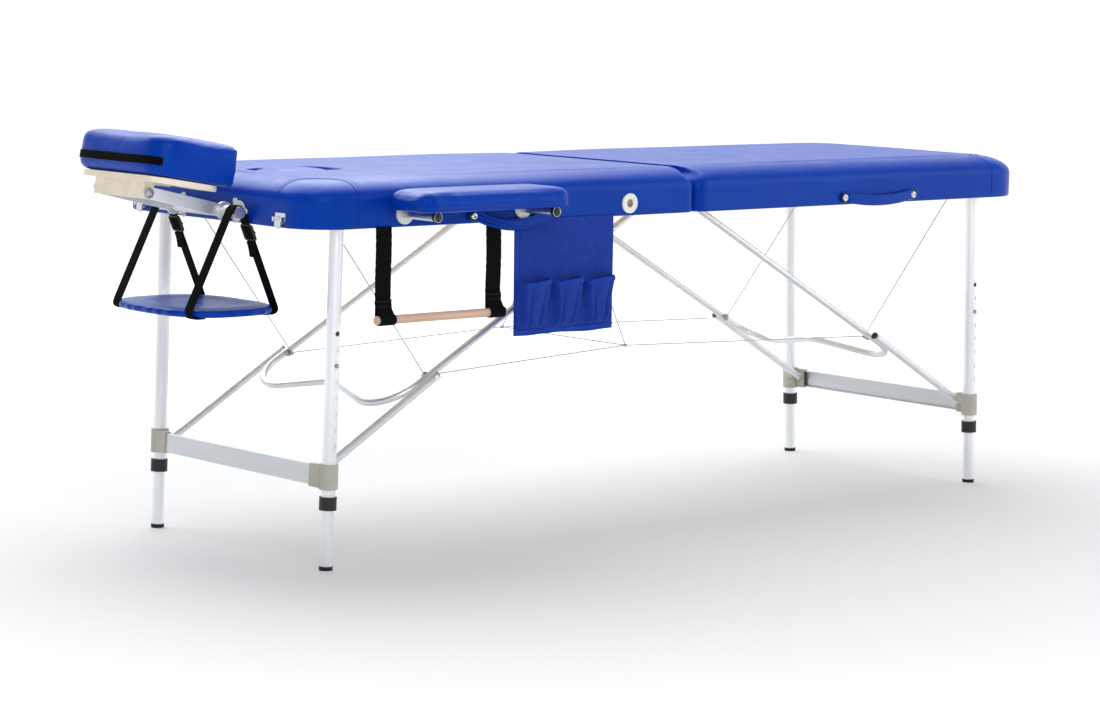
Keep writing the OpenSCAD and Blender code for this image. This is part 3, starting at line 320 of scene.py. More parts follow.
def with_height(plan, height):
    """Plan points with a height for each of them or for each ring."""
    return np.concatenate([plan, np.broadcast_to(height, (*plan.shape[:-1], 1))], -1)


def drawn_in(plan, inset, far):
    """Plan points of a half, moved in by inset at its sides and end and by at most seam_in at the seam."""
    at_seam = np.minimum(inset, seam_in)
    short = (far - inset - panel_near - at_seam) / (far - panel_near)
    x = panel_near + at_seam + (plan[..., 0] - panel_near) * short
    return np.stack([x, plan[..., 1] * (1 - inset / panel_half)], -1)


def made(piece, paint, body, stands_for=()):
    """Gives a piece its finish and body, and hides the CAD nodes that it stands for."""
    piece.data.materials.append(paint)
    if body:
        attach(piece, body)
    if stands_for:
        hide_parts(*stands_for)
    return piece


turn_over = np.linspace(0.0, np.pi / 2, 11)
cover_profile = np.vstack([
    [[0.012, top_under - 0.0008], [0.004, top_under - 0.0008], [0.0012, top_under - 0.0001],
     [0.0, top_under + 0.0018]],
    np.stack([np.zeros(10), np.linspace(top_under + 0.008, pad_top - roll_high, 10)], -1),
    np.stack([roll_in * (1 - np.cos(turn_over[1:])), pad_top - roll_high * (1 - np.sin(turn_over[1:]))], -1)])
inset, height = cover_profile[:, 0, None], cover_profile[:, 1, None]
for end, half, far in halves:
    edge_line, edge_out = rounded_outline(panel_near, far, panel_half, seam_round, corner_round, 440)
    plan = drawn_in(edge_line[None], inset, far)
    wave = side_ripple * np.sin(31.0 * plan[..., 0] + 19.0 * plan[..., 1] + 2.0)
    wave = wave * np.sin(45.0 * (height - top_under)) ** 2 * (inset < 0.011)
    rings = [with_height(plan + edge_out * wave[..., None], height[..., None])]
    rim = rings[0][-1, :, :2]
    centre = np.array([hole_x if end < 0 else 0.5 * far, 0.0])
    ray = unit(rim - centre)
    reach, lip = np.full((len(rim), 1), foot_fan), 0.0
    if end < 0:
        hole = rounded_outline(hole_x - hole_long / 2, hole_x + hole_long / 2, hole_wide / 2,
                               hole_round, hole_round, 200)[0] - centre
        rim_turn, hole_turn = [np.arctan2(way[:, 1], way[:, 0]) for way in (ray, hole)]
        reach = np.interp(rim_turn, hole_turn, np.linalg.norm(hole, axis=1), period=2 * np.pi)[:, None]
        lip = hole_lip
    share = np.linspace(0.0, 1.0, 34)[1:, None, None]
    top = rim * (1 - share) + (centre + ray * (reach + lip)) * share
    x, y = top[..., 0], top[..., 1]
    along, across = np.clip(2 * x / far - 1, -1, 1), np.clip(y / panel_half, -1, 1)
    waves = np.sin(9.0 * x + 2.1) * np.cos(7.0 * y + 0.4)
    waves = waves + 0.6 * np.sin(17.0 * x - 11.0 * y) + 0.5 * np.cos(23.0 * y)
    swell = pad_crown * (1 - along ** 6) * (1 - across ** 4)
    swell = swell + top_ripple * waves * (1 - along ** 8) * (1 - across ** 6)
    if end < 0:
        from_hole = np.linalg.norm(top - centre, axis=-1) - (reach + lip)[:, 0]
        swell = swell - hole_dip * np.exp(-(from_hole / hole_dip_wide) ** 2)
    rings.append(with_height(top, (pad_top + swell)[..., None]))
    if end < 0:
        lip_turn = np.linspace(0.0, np.pi / 2, 7)[1:, None, None]
        lip_plan = centre + ray * (reach + lip * (1 - np.sin(lip_turn)))
        wall = np.array([0.690, deck_top + 0.0004])[:, None, None]
        rings += [with_height(lip_plan, rings[1][-1, :, 2:] - lip * (1 - np.cos(lip_turn))),
                  with_height(np.repeat(lip_plan[-1:], 2, 0), wall)]
    grid = np.concatenate(rings)
    grid[..., 0] = grid[..., 0] * end + seam_x
    made(surface(half + "_cover", grid[:, ::end], close_u=True, caps=() if end < 0 else (-1,)), vinyl,
         half + "_panel", (half + "_pad", half + "_skirt"))

stitch_long, stitch_pitch, stitch_thick = 0.0030, 0.0046, 0.00055


def stitches(name, path, normal, thread, body):
    """A row of sewn stitches along a path that lies on a surface: at even steps, one short rounded thread
    laid along the path and half sunk in it. Each is a small capsule of five rings of six points."""
    run = run_of(path)
    at = np.arange(stitch_pitch / 2, run[-1], stitch_pitch)
    ahead = unit(at_run(at, run, np.gradient(path, run, axis=0)))
    beside = unit(np.cross(at_run(at, run, np.broadcast_to(normal, path.shape)), ahead))
    axes = np.stack([ahead, beside, np.cross(ahead, beside)], 1)
    turn = np.linspace(0.0, 2 * np.pi, 6, endpoint=False)
    along = np.array([-0.5, -0.40, 0.0, 0.40, 0.5])[:, None] * stitch_long + 0 * turn
    fat = np.array([0.25, 0.8, 1.0, 0.8, 0.25])[:, None] * stitch_thick
    shape = np.stack([along, fat * np.cos(turn), fat * np.sin(turn)], -1)
    points = np.einsum("vuk,nkx->nvux", shape, axes) + at_run(at, run, path)[:, None, None]
    ids = np.arange(len(at) * 30).reshape(-1, 5, 6)
    beyond = np.roll(ids, -1, 2)
    quads = np.stack([ids[:, :-1], beyond[:, :-1], beyond[:, 1:], ids[:, 1:]], -1).reshape(-1, 4)
    ends = np.concatenate([ids[:, 0, ::-1], ids[:, -1]])
    return made(mesh_piece(name, points.reshape(-1, 3), quads.tolist() + ends.tolist()), thread, body)


def carry(path, section, side):
    """Carries a section (points across and up) along a path: at each point of the path, across is side made
    square to the path, and up is square to both. The section may change from point to point."""
    ahead = unit(np.gradient(path, axis=0))
    across = np.broadcast_to(np.asarray(side, float), path.shape)
    across = unit(across - (across * ahead).sum(1, keepdims=True) * ahead)
    up = np.cross(ahead, across)
    section = np.broadcast_to(section, (len(path), *np.shape(section)[-2:]))
    return path[:, None] + section[..., 0:1] * across[:, None] + section[..., 1:2] * up[:, None]


def circle(radius, count=12):
    """Points round a circle."""
    turn = np.linspace(0.0, 2 * np.pi, count, endpoint=False)
    return radius * np.stack([np.cos(turn), np.sin(turn)], -1)


navy_thread = finish("navy_thread", (10, 30, 105), 0.6, Sheen_Weight=0.3)
relief(navy_thread, pattern(navy_thread, "Wave", 900.0, bands_direction="DIAGONAL"), 0.00008)
lift_steps = np.linspace(0.0, 1.0, len(cover_profile))


def cover_place(end, far, out, run, lift):
    """Point and normal on a half's cover, on the side out: run is the distance along the outline from the
    corner's middle towards the long side, and lift goes from 0 at the hem to 1 at the rounded edge's top."""
    arc_half = corner_round * np.pi / 4
    angle = np.pi / 4 + np.clip(run / corner_round, -np.pi / 4, np.pi / 4)
    x = far - corner_round + corner_round * np.cos(angle) - np.clip(run - arc_half, 0, None)
    y = panel_half - corner_round + corner_round * np.sin(angle) - np.clip(-run - arc_half, 0, None)
    inset, z = at_run(lift, lift_steps[3:], cover_profile[3:]).T
    tip = np.interp(lift, lift_steps[13:], turn_over)
    normal = np.stack([np.cos(angle) * np.cos(tip), np.sin(angle) * np.cos(tip), np.sin(tip)], -1)
    place = with_height(drawn_in(np.stack([x, y], -1), inset, far), z[:, None])
    flip = np.array([end, out, 1.0])
    return place * flip + (seam_x, 0, 0), normal * flip


gusset_reach, gusset_low, gusset_high, gusset_foot, on_vinyl = 0.088, 0.52, 0.46, 0.16, 0.0001
stitched_out, stitched_up = 1.06, 0.05
sweep = np.linspace(-1.0, 1.0, 90)
gusset_lift = gusset_low + gusset_high * np.sqrt(np.clip(1 - sweep ** 2, 0, 1))
gusset_run = gusset_reach * sweep
seam_run = np.concatenate([gusset_run, np.full(29, gusset_reach)])
seam_lift = np.concatenate([gusset_lift, np.linspace(gusset_low, gusset_foot, 30)[1:]])
for end, half, far in halves:
    for out, side in sides:
        seam, face = cover_place(end, far, out, seam_run, seam_lift)
        welt = carry(seam + face * on_vinyl, circle(0.0007, 8), (0.3, 0.5, 0.81))
        made(solid(f"{half}_{side}_gusset_seam", welt), vinyl, half + "_panel")
        seam, face = cover_place(end, far, out, stitched_out * gusset_run,
                                 np.minimum(gusset_lift + stitched_up, 1.0))
        stitches(f"{half}_{side}_gusset_stitches", seam + face * on_vinyl, face, navy_thread,
                 half + "_panel")

# Face plug: an oval of foam covered in the same vinyl on a small board, pushed into the face hole.
# Its edge is rolled, so a dark groove shows between it and the pad at both ends.
plug_gap, plug_roll, plug_shoulder, plug_crown = 0.0006, 0.011, 0.6925, 0.7035
plug_swell, plug_end_drop = 0.0022, 0.017


def stepped_in(edge, out, profile):
    """Rings of a pad: its edge moved in along its normals to each step (inset, height) of a profile."""
    return with_height(edge - out * profile[:, 0, None, None], profile[:, 1, None, None])


plug_edge = rounded_outline(hole_x - hole_long / 2 + plug_gap, hole_x + hole_long / 2 - plug_gap,
                            hole_wide / 2 - plug_gap, hole_round - plug_gap, hole_round - plug_gap, 160)
plug_turn = np.linspace(0.0, np.pi / 2, 9)
plug_profile = np.vstack([
    [[0.0, deck_top - 0.005], [0.0, 0.678], [0.0, 0.688]],
    np.stack([plug_roll * (1 - np.cos(plug_turn)), plug_shoulder + plug_roll * np.sin(plug_turn)], -1)])
plug_rings = stepped_in(*plug_edge, plug_profile)
plug_share = np.linspace(0.0, 0.96, 16)[1:, None, None]
plug_top = plug_rings[-1:] * (1 - plug_share) + np.array([hole_x, 0.0, plug_crown]) * plug_share
plug_top[..., 2] += plug_swell * (1 - (1 - plug_share[..., 0]) ** 2.5)
plug_grid = np.concatenate([plug_rings, plug_top])
plug_end = np.clip((np.abs(plug_grid[..., 0] - hole_x) - 0.028) / 0.060, 0, 1)
plug_grid[..., 2] -= plug_end_drop * plug_end ** 1.7 * np.clip((plug_grid[..., 2] - 0.676) / 0.02, 0, 1)
plug_grid[..., 0] = seam_x - plug_grid[..., 0]
made(solid("face_plug_pad", plug_grid[:, ::-1]), vinyl, "face_plug", ("face_plug",))

# Accessory sockets: turned white plastic bushes pressed through the rails, with a wide flange outside.
# The two on the head end have three screw lobes.
white_moulding = finish("white_moulding", (232, 232, 226), 0.3, Coat_Weight=0.2)
mottle(white_moulding, "Roughness", 60.0, 4.0, 0.25, 0.4)
roughen(white_moulding, 900.0, 2.0, 0.00003)
wear(white_moulding, "sockets")
# Each socket's bore is closed by a disc just inside its flange: the timber seen down the bore, darkened to a
# grey-brown as painted shade in the hole.
bore_shade = finish("bore_shade", (150, 134, 108), 0.8)
mottle(bore_shade, "Base Color", 240.0, 4.0, 0.7, 1.1, stretch=(0.2, 1.0, 1.0))
bore_plan = np.array([0.0083, 0.0080, 0.0004])[:, None, None] * circle(1.0, 32)
bore_depth = np.broadcast_to(np.array([0.3112, 0.3108, 0.3106])[:, None], bore_plan.shape[:2])
socket_height = 0.640
for out, side in sides:
    for run, tag in ((0.723, "a"), (0.445, "b"), (0.178, "c")):
        bore = np.stack([seam_x - run + bore_plan[..., 0], out * bore_depth,
                         socket_height + bore_plan[..., 1]], -1)
        disc = surface(f"socket_bore_{side}_{tag}", bore[:, ::-out], close_u=True, caps=(-1,))
        made(disc, bore_shade, "head_panel")

# Case latches and catches: pressed steel, polished and chromed, riveted to the ends of the two halves.
# The levers on the head end hook on to the catches of the foot end when the table is shut.
chrome = finish("polished_chrome", (205, 207, 212), 0.10, 1.0)
mottle(chrome, "Roughness", 130.0, 5.0, 0.06, 0.20, (0.35, 0.75))
roughen(chrome, 260.0, 2.0, 0.00003)
wear(chrome, "latch_plates", "latch_near", "latch_far", "latch_catches")

# Pivot brackets, centre hinges, pins and spring buttons: bent sheet steel and turned pins, zinc plated.
# The brackets are fixed under the top, and each button snaps out through a hole of its leg tube.
legs = ("head_near", "head_far", "foot_near", "foot_far")
zinc = finish("zinc_plate", (176, 178, 182), 0.34, 1.0)
mottle(zinc, "Roughness", 90.0, 6.0, 0.26, 0.46)
mottle(zinc, "Base Color", 40.0, 5.0, 0.88, 1.06)
wear(zinc, "head_brackets", "foot_brackets", "hinge_pins", *["button_" + leg for leg in legs])

# Telescopic legs: drawn aluminium tubes, satin anodised, the thin one sliding in the thick one.
# The draw lines run along the tubes.
drawn_tube = finish("drawn_tube", (244, 246, 248), 0.34, 0.72)
tube_lines = pattern(drawn_tube, "Noise", 520.0, (1.0, 1.0, 0.012), Detail=3.0)
spread(drawn_tube, "Roughness", tube_lines, 0.28, 0.44)
mottle(drawn_tube, "Base Color", 14.0, 4.0, 0.93, 1.04, stretch=(1.0, 1.0, 0.3))
relief(drawn_tube, tube_lines, 0.00004)
wear(drawn_tube, "head_leg_tubes", "foot_leg_tubes", *["lower_leg_" + leg for leg in legs])

# Cross bars: extruded aluminium channel between the legs of each pair, brushed along its length.
# Their ends are held in the leg clamps. The cradle's base has the same finish.
brushed_bar = finish("brushed_bar", (206, 208, 211), 0.38, 1.0)
bar_lines = pattern(brushed_bar, "Noise", 600.0, (1.0, 0.01, 1.0), Detail=3.0)
spread(brushed_bar, "Roughness", bar_lines, 0.32, 0.50)
relief(brushed_bar, bar_lines, 0.00005)
wear(brushed_bar, "head_cross_bar", "foot_cross_bar", "cradle_base")

# Leg clamps: moulded beige-grey plastic, slid up the leg tubes and holding the ends of the cross bars.
# Their skin has a fine moulded grain, and the struts of the braces are bolted to them.
grey_moulding = finish("grey_moulding", (186, 183, 170), 0.46)
mottle(grey_moulding, "Base Color", 45.0, 5.0, 0.92, 1.05)
roughen(grey_moulding, 1300.0, 2.0, 0.00005)
wear(grey_moulding, "head_leg_clamps", "foot_leg_clamps")

# Collars at the ends of the upper tubes, strut end plugs and sling sliders: moulded black plastic.
# Collars and plugs are pushed on to the tube ends, and have a slight gloss from the mould.
black_moulding = finish("black_moulding", (22, 22, 24), 0.42)
mottle(black_moulding, "Roughness", 70.0, 4.0, 0.34, 0.55)
roughen(black_moulding, 1200.0, 2.0, 0.00005)
wear(black_moulding, "head_collars", "foot_collars", "head_strut_plugs", "foot_strut_plugs")

# Tips: moulded rubber caps pressed over the ends of the lower tubes, scuffed where they meet the floor.
# The rubber is dark and dull, and its scuffs are paler.
tip_rubber = finish("tip_rubber", (26, 26, 27), 0.75)
mottle(tip_rubber, "Base Color", 160.0, 6.0, 0.7, 2.2, (0.45, 0.8))
roughen(tip_rubber, 800.0, 3.0, 0.0001)
wear(tip_rubber, *["tip_" + leg for leg in legs])

# Braces: one aluminium tube for each end, bent to a wide U with a dip in its middle, pinned under the top.
# A lug on each arm takes the cables; straight struts bolt the elbows to the leg clamps.
arm_metal = finish("bent_tube", (232, 234, 236), 0.36, 0.8)
mottle(arm_metal, "Roughness", 240.0, 4.0, 0.29, 0.46)
mottle(arm_metal, "Base Color", 18.0, 5.0, 0.92, 1.04)
roughen(arm_metal, 700.0, 2.0, 0.00004)
wear(arm_metal, "head_struts", "foot_struts", "cradle_arms")
brace_pivot, brace_slope = (0.040, 0.640), np.radians(29.4657)
arm_reach, elbow_out, brace_half, brace_round = 0.636306, 0.663306, 0.222, 0.0065
bend_round, dip_round, dip_turn = 0.075, 0.100, np.radians(18.0)


def brace_plan(along, across, end):
    """Point of the tilted brace plane: along the arms from their pivots, across the table."""
    return np.stack([seam_x + end * (brace_pivot[0] + along * np.cos(brace_slope)), across,
                     brace_pivot[1] - along * np.sin(brace_slope)], -1)


def turned(place, axis, profile, count=32):
    """A turned solid: the profile (radius, height along axis) spun about an axis through place."""
    axis = unit(axis)
    first = unit(np.cross(axis, (0.31, 0.17, 0.93)))
    spin = circle(1.0, count)
    radius, height = np.array(profile, float).T[..., None, None]
    return place + radius * (spin[:, :1] * first + spin[:, 1:] * np.cross(axis, first)) + height * axis


bend_turn = np.linspace(np.pi / 2, -dip_turn, 40)
bend_along = elbow_out + bend_round * np.cos(bend_turn)
bend_across = brace_half - bend_round + bend_round * np.sin(bend_turn)
run_down = (bend_across[-1] - dip_round * np.sin(dip_turn)) / np.cos(dip_turn)
dip_start = bend_along[-1] - run_down * np.sin(dip_turn)
dip_angle = np.linspace(dip_turn, 0.0, 12)
half_along = np.concatenate([np.linspace(-0.010, elbow_out, 60)[:-1], bend_along,
                             dip_start + dip_round * (np.cos(dip_turn) - np.cos(dip_angle))])
half_across = np.concatenate([np.full(59, brace_half), bend_across, dip_round * np.sin(dip_angle)])
brace_along = np.concatenate([half_along, half_along[-2::-1]])
brace_across = np.concatenate([half_across, -half_across[-2::-1]])
lug_profile = [(0.0017, 0.0), (0.0030, 0.0), (0.0070, 0.0), (0.0080, 0.0010),
               (0.0080, 0.0045), (0.0017, 0.0045)]
lug_across = brace_half - brace_round - 0.0035
for end, half, _ in halves:
    square = (end * np.sin(brace_slope), 0.0, np.cos(brace_slope))
    tube = carry(brace_plan(brace_along, brace_across, end), circle(brace_round, 20), square)
    made(solid(half + "_brace_tube", tube), arm_metal, half + "_brace", (half + "_brace",))
    for out, side in sides:
        lug = turned(brace_plan(arm_reach, out * lug_across, end), (0, out, 0), lug_profile)
        made(surface(f"{half}_{side}_brace_lug", lug, close_u=True, close_v=True), zinc,
             half + "_brace")

# Cables: thin stranded steel stays with pressed crimps. One pair at each end runs from the elbows up to the
# leg pivots. One pair runs the length of the table from elbow to elbow, drawn in and tied up to an anchor
# under the head half.
strand = finish("steel_strand", (206, 208, 212), 0.5, 0.85)
relief(strand, pattern(strand, "Wave", 700.0, turn=(0.4, 0.6, 0.2), bands_direction="DIAGONAL"), 0.0002)
mottle(strand, "Roughness", 300.0, 3.0, 0.3, 0.55)
cable_round, cable_half = 0.0011, 0.2087
elbow_hook, elbow_height, eye_inset = 0.590, 0.327, 0.0865
kink_x, kink_half, kink_height = -0.070, 0.1887, 0.348
eye_top, anchor_x, tie_half, anchor_deep, eye_deep = 0.663, -0.062, 0.0035, 0.006, 0.003


def gather(piece, body):
    """A cable, tie or crimp rides on a half of the top, with a mesh of its own."""
    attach(piece, body)
    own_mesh(piece)


def stay(name, start, stop, body):
    """A straight cable between two points, in table coordinates, as a thin tube."""
    line = np.linspace(start, stop, 24) + (seam_x, 0.0, 0.0)
    piece = solid(name, carry(line, circle(cable_round, 8), (0.12, 0.31, 0.94)))
    gather(made(piece, strand, None), body)
    return piece


def fitting(name, place, axis, profile, body=None):
    """A turned crimp, eye or anchor on a cable."""
    piece = solid(name, turned(np.add(place, (seam_x, 0, 0)), axis, profile, 20))
    return made(piece, zinc, body)


crimp_profile = [(0.0006, -0.0050), (0.0019, -0.0048), (0.0030, -0.0030), (0.0026, -0.0008), (0.0030, 0.0010),
                 (0.0028, 0.0032), (0.0016, 0.0049), (0.0006, 0.0050)]
eye_profile = [(0.0005, -0.0040), (0.0032, -0.0040), (0.0040, -0.0030), (0.0040, 0.0), (0.0005, 0.0)]
anchor_profile = [(0.0005, -0.0060), (0.0055, -0.0060), (0.0070, -0.0045), (0.0070, 0.0), (0.0005, 0.0)]
for out, side in sides:
    kink = np.array([kink_x, out * kink_half, kink_height])
    hooks = [np.array([end * elbow_hook, out * cable_half, elbow_height]) for end in (-1, 1)]
    for (end, half, far), hook in zip(halves, hooks):
        eye = np.array([end * (far - eye_inset), out * cable_half, eye_top])
        stay(f"{half}_{side}_leg_stay", hook, eye - (0.0, 0.0, eye_deep), half + "_panel")
        fitting(f"{half}_{side}_hook_crimp", hook, (end * 0.6, 0, 0.8), crimp_profile, half + "_brace")
        fitting(f"{half}_{side}_stay_eye", eye, (0, 0, 1), eye_profile, half + "_panel")
    head_run = stay(f"{side}_long_stay_head", hooks[0], kink, "head_panel")
    if out < 0:
        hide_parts("cables")
    at_seam = kink + (hooks[1] - kink) * kink_x / (kink_x - elbow_hook)
    stay(f"{side}_long_stay_seam", kink, at_seam, "head_panel")
    stay(f"{side}_long_stay_foot", at_seam, hooks[1], "foot_panel")
    stay(f"{side}_stay_tie", kink, (anchor_x, out * tie_half, eye_top - anchor_deep), "head_panel")
    gather(fitting(f"{side}_kink_crimp", kink, (1, 0, 0), crimp_profile), "head_panel")
stay("cross_tie", (kink_x, -kink_half, kink_height), (kink_x, kink_half, kink_height), "head_panel")
fitting("stay_anchor", (anchor_x, 0.0, eye_top), (0, 0, 1), anchor_profile, "head_panel")

# Face cradle: a birch plate and cross board on two flat aluminium arms, under a horseshoe cushion.
# The cushion is foam sewn into vinyl, with a seam down each outer corner and hook tape on its outer face.
cradle_metal = finish("cradle_rod", (210, 212, 216), 0.30, 1.0)
mottle(cradle_metal, "Roughness", 480.0, 3.0, 0.24, 0.40, stretch=(0.02, 1.0, 1.0))
wear(cradle_metal, "armrest_near_rods", "armrest_far_rods")
wear(birch, "cradle_plate")
cradle_turn = np.radians(9.3)
cradle_place = np.array([seam_x - 1.11723, 0.0, 0.675454])
cradle_along = np.array([np.cos(cradle_turn), 0.0, -np.sin(cradle_turn)])
cradle_up = np.array([np.sin(cradle_turn), 0.0, np.cos(cradle_turn)])
cushion_outer, cushion_inner, cushion_back = -0.030, 0.058, 0.144
cushion_half, gap_half, cushion_low, cushion_high = 0.140, 0.052, 0.0300, 0.1030
outer_round, inner_round, end_round, cushion_crown = 0.044, 0.040, 0.017, 0.003


def in_cradle(points):
    """Turns points from the cradle's own tilted frame into the table's."""
    return points @ np.array([cradle_along, (0.0, 1.0, 0.0), cradle_up]) + cradle_place


def points_of(mesh):
    """All points of a mesh."""
    flat = np.zeros(len(mesh.vertices) * 3)
    mesh.vertices.foreach_get("co", flat)
    return flat.reshape(-1, 3)


def plump(piece, voxel, cap, rest):
    """Stuffs a closed cover: a copy of its mesh with even faces of voxel metres is blown up as cloth under
    pressure for twenty frames, and no point moves further than cap. The points that rest marks are held, and
    the movement is smoothed over each point's neighbours."""
    even = piece.modifiers.new("even_faces", "REMESH")
    even.mode = "VOXEL"
    even.voxel_size = voxel
    bpy.context.view_layer.update()
    skin = piece.data.materials[0]
    mesh = bpy.data.meshes.new_from_object(piece.evaluated_get(bpy.context.evaluated_depsgraph_get()))
    piece.modifiers.clear()
    mesh.materials.clear()
    mesh.materials.append(skin)
    piece.data = mesh
    before = points_of(mesh)
    held = piece.vertex_groups.new(name="held")
    held.add(np.flatnonzero(rest(before)).tolist(), 1.0, "REPLACE")
    cloth = piece.modifiers.new("stuffing", "CLOTH")
    cloth.settings.vertex_group_mass = "held"
    cloth.settings.use_pressure = True
    cloth.settings.uniform_pressure_force = 4.0
    cloth.settings.effector_weights.gravity = 0.0
    cloth.settings.quality = 5
    cloth.settings.mass = 0.3
    cloth.collision_settings.use_collision = False
    cloth.point_cache.frame_start = 1
    cloth.point_cache.frame_end = 20
    for step in range(1, 21):
        scene.frame_set(step)
    move = points_of(piece.evaluated_get(bpy.context.evaluated_depsgraph_get()).data) - before
    far = np.linalg.norm(move, axis=1, keepdims=True)
    move *= cap * np.tanh(far / cap) / np.maximum(far, 1e-9)
    edges = np.zeros(len(mesh.edges) * 2, np.int32)
    mesh.edges.foreach_get("vertices", edges)
    one, other, count = edges[0::2], edges[1::2], len(before)
    joins = np.bincount(edges, minlength=count)[:, None]
    for _ in range(6):
        near = np.stack([np.bincount(one, way[other], count) + np.bincount(other, way[one], count)
                         for way in move.T], -1)
        move = 0.4 * move + 0.6 * near / joins
    piece.modifiers.clear()
    scene.frame_set(1)
    piece.vertex_groups.clear()
    mesh.vertices.foreach_set("co", (before + move).ravel())
    mesh.update()
    mesh.shade_smooth()
    smooth = piece.modifiers.new("smooth_cover", "SUBSURF")
    smooth.levels = smooth.render_levels = 1


def settle(points, piece, lift=0.0):
    """Moves points on to a piece and lift metres off it: each goes to the plane of the piece's nearest point,
    along that point's normal."""
    skin = points_of(piece.data)
    face = np.zeros(len(skin) * 3, np.float32)
    piece.data.vertex_normals.foreach_get("vector", face)
    near = ((skin ** 2).sum(1) - 2 * points @ skin.T).argmin(1)
    out = face.reshape(-1, 3)[near]
    return points + (lift - ((points - skin[near]) * out).sum(1, keepdims=True)) * out


def horseshoe(x, half, radius):
    """An edge of the cushion in plan: a straight, a quarter turn and a straight to the middle of the end, and
    the mirror image of these back again."""
    arc = np.array([x + radius, radius - half]) + radius * np.stack(
        [f(np.linspace(1.5 * np.pi, np.pi, 22)) for f in (np.cos, np.sin)], -1)
    line = np.vstack([np.linspace((cushion_back, -half), arc[0], 26)[:-1], arc,
                      np.linspace(arc[-1], (x, 0.0), 18)[1:]])
    return np.vstack([line, line[-2::-1] * (1.0, -1.0)])


def signed_power(x, power):
    """A power of the size of x, with the sign of x."""
    return np.sign(x) * np.abs(x) ** power


def blurred(line, width):
    """A line whose points are each the mean of width neighbours."""
    spare = np.pad(line, ((width // 2, width // 2), (0, 0)), "edge")
    return np.stack([np.convolve(column, np.ones(width) / width, "valid") for column in spare.T], -1)


outer_line = horseshoe(cushion_outer, cushion_half, outer_round)
inner_line = horseshoe(cushion_inner, gap_half, inner_round)
face_turn = np.linspace(0.0, 2 * np.pi, 56, endpoint=False)
across_share = 0.5 * signed_power(np.cos(face_turn), 0.36)
up_share = 0.5 * signed_power(np.sin(face_turn), 0.40)
end_turn = np.linspace(np.pi / 2, 0.0, 7)[:-1]
tuck, push = [end_round * np.concatenate([curve, np.zeros(len(outer_line)), curve[::-1]])
              for curve in (1 - np.cos(end_turn), np.sin(end_turn))]
outer_all, inner_all = [np.pad(line, ((6, 6), (0, 0)), "edge") for line in (outer_line, inner_line)]
narrow = (1 - 2 * tuck / np.linalg.norm(outer_all - inner_all, axis=1))[:, None]
low = (1 - 2 * tuck / (cushion_high - cushion_low))[:, None]
a_share = 0.5 + across_share * narrow
plan = inner_all[:, None] * (1 - a_share[..., None]) + outer_all[:, None] * a_share[..., None]
plan[..., 0] += ((push - end_round) * (push > 0))[:, None]
crown = cushion_crown * np.clip(up_share, 0, 1) * (1 - (2 * a_share - 1) ** 2) * low
height = cushion_low + (cushion_high - cushion_low) * (0.5 + up_share * low) + crown
cushion = solid("cradle_cushion_pad", in_cradle(with_height(plan, height[..., None])))
made(cushion, vinyl, None)
plump(cushion, 0.005, 0.004, lambda p: (p - cradle_place) @ cradle_up < cushion_low + 0.004)
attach(cushion, "cradle")
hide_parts("cradle_cushion")

hook_tape = finish("hook_tape", (5, 5, 6), 0.9, Specular_IOR_Level=0.10)
relief(hook_tape, pattern(hook_tape, "Voronoi", 1100.0, feature="F1"), 0.0005)
tape_low, tape_high, tape_lift, tape_thick = 0.050, 0.0640, 0.0006, 0.0012
tape_turn, tape_flat = [np.interp(np.arange(120), [0, 30, 90, 119], ends)
                        for ends in ([-0.9, 0.0, 0.0, 0.9], [1.0, 1.0, -1.0, -1.0])]
tape_x = cushion_outer + outer_round * (1 - np.cos(tape_turn))
tape_y = outer_round * np.sin(tape_turn) - tape_flat * (cushion_half - outer_round)
tape_z = np.linspace(tape_low, tape_high, 6)[:, None]
tape_line = in_cradle(np.stack(np.broadcast_arrays(tape_x, tape_y, tape_z), -1))
tape_on = settle(tape_line.reshape(-1, 3), cushion, tape_lift).reshape(tape_line.shape)
tape = made(surface("cradle_hook_tape", tape_on), hook_tape, "cradle")
tape.modifiers.new("tape_thickness", "SOLIDIFY").thickness = tape_thick
seam_short, seam_round_in, stitches_beside = 0.006, (0.012, 0.013), 0.0035
for out, side in sides:
    seam_out = np.array([-np.cos(cradle_turn) * 0.72, out * 0.69, np.sin(cradle_turn) * 0.72])
    seam_high = np.linspace(cushion_low + seam_short, cushion_high - seam_short, 50)[:, None]
    seam_plan = np.tile((cushion_outer + seam_round_in[0], out * (cushion_half - seam_round_in[1])), (50, 1))
    seam_line = blurred(settle(in_cradle(with_height(seam_plan, seam_high)), cushion), 7)
    welt = carry(seam_line, circle(0.0009, 8), seam_out)
    made(solid(f"cradle_{side}_seam", welt), vinyl, "cradle")
    beside = seam_line + np.cross(seam_out, (0, 0, 1.0)) * out * stitches_beside
    stitches(f"cradle_{side}_seam_stitches", settle(beside, cushion), seam_out, navy_thread,
             "cradle")

cradle_bolt_y = 0.0821
bolt_profile = [(0.0030, 0.0), (0.0098, 0.0), (0.0100, 0.0010), (0.0088, 0.0014), (0.0080, 0.0009),
                (0.0076, 0.0020), (0.0066, 0.0040), (0.0040, 0.0054), (0.0005, 0.0058)]
for out, side in sides:
    bolt = turned(cradle_place + (0.0, out * cradle_bolt_y, 0.0), (0, out, 0), bolt_profile, 40)
    made(solid(f"cradle_{side}_pivot_bolt", bolt), zinc, "cradle_arms")

# Arm sling: a thin padded shelf in vinyl that hangs from the cradle's base tube on webbing.
# Each strap goes over the tube and round both edges of the shelf; sliders set the length of the inner ends.
webbing = finish("black_webbing", (6, 6, 7), 0.9, Specular_IOR_Level=0.10)


def weave(paint, scale, stretch, way, shape, **values):
    """The value of a wave that runs over a woven piece's own UV map, in metres across and along it."""
    return pattern(paint, "Wave", scale, stretch, on="UV", bands_direction=way, wave_profile=shape, **values)


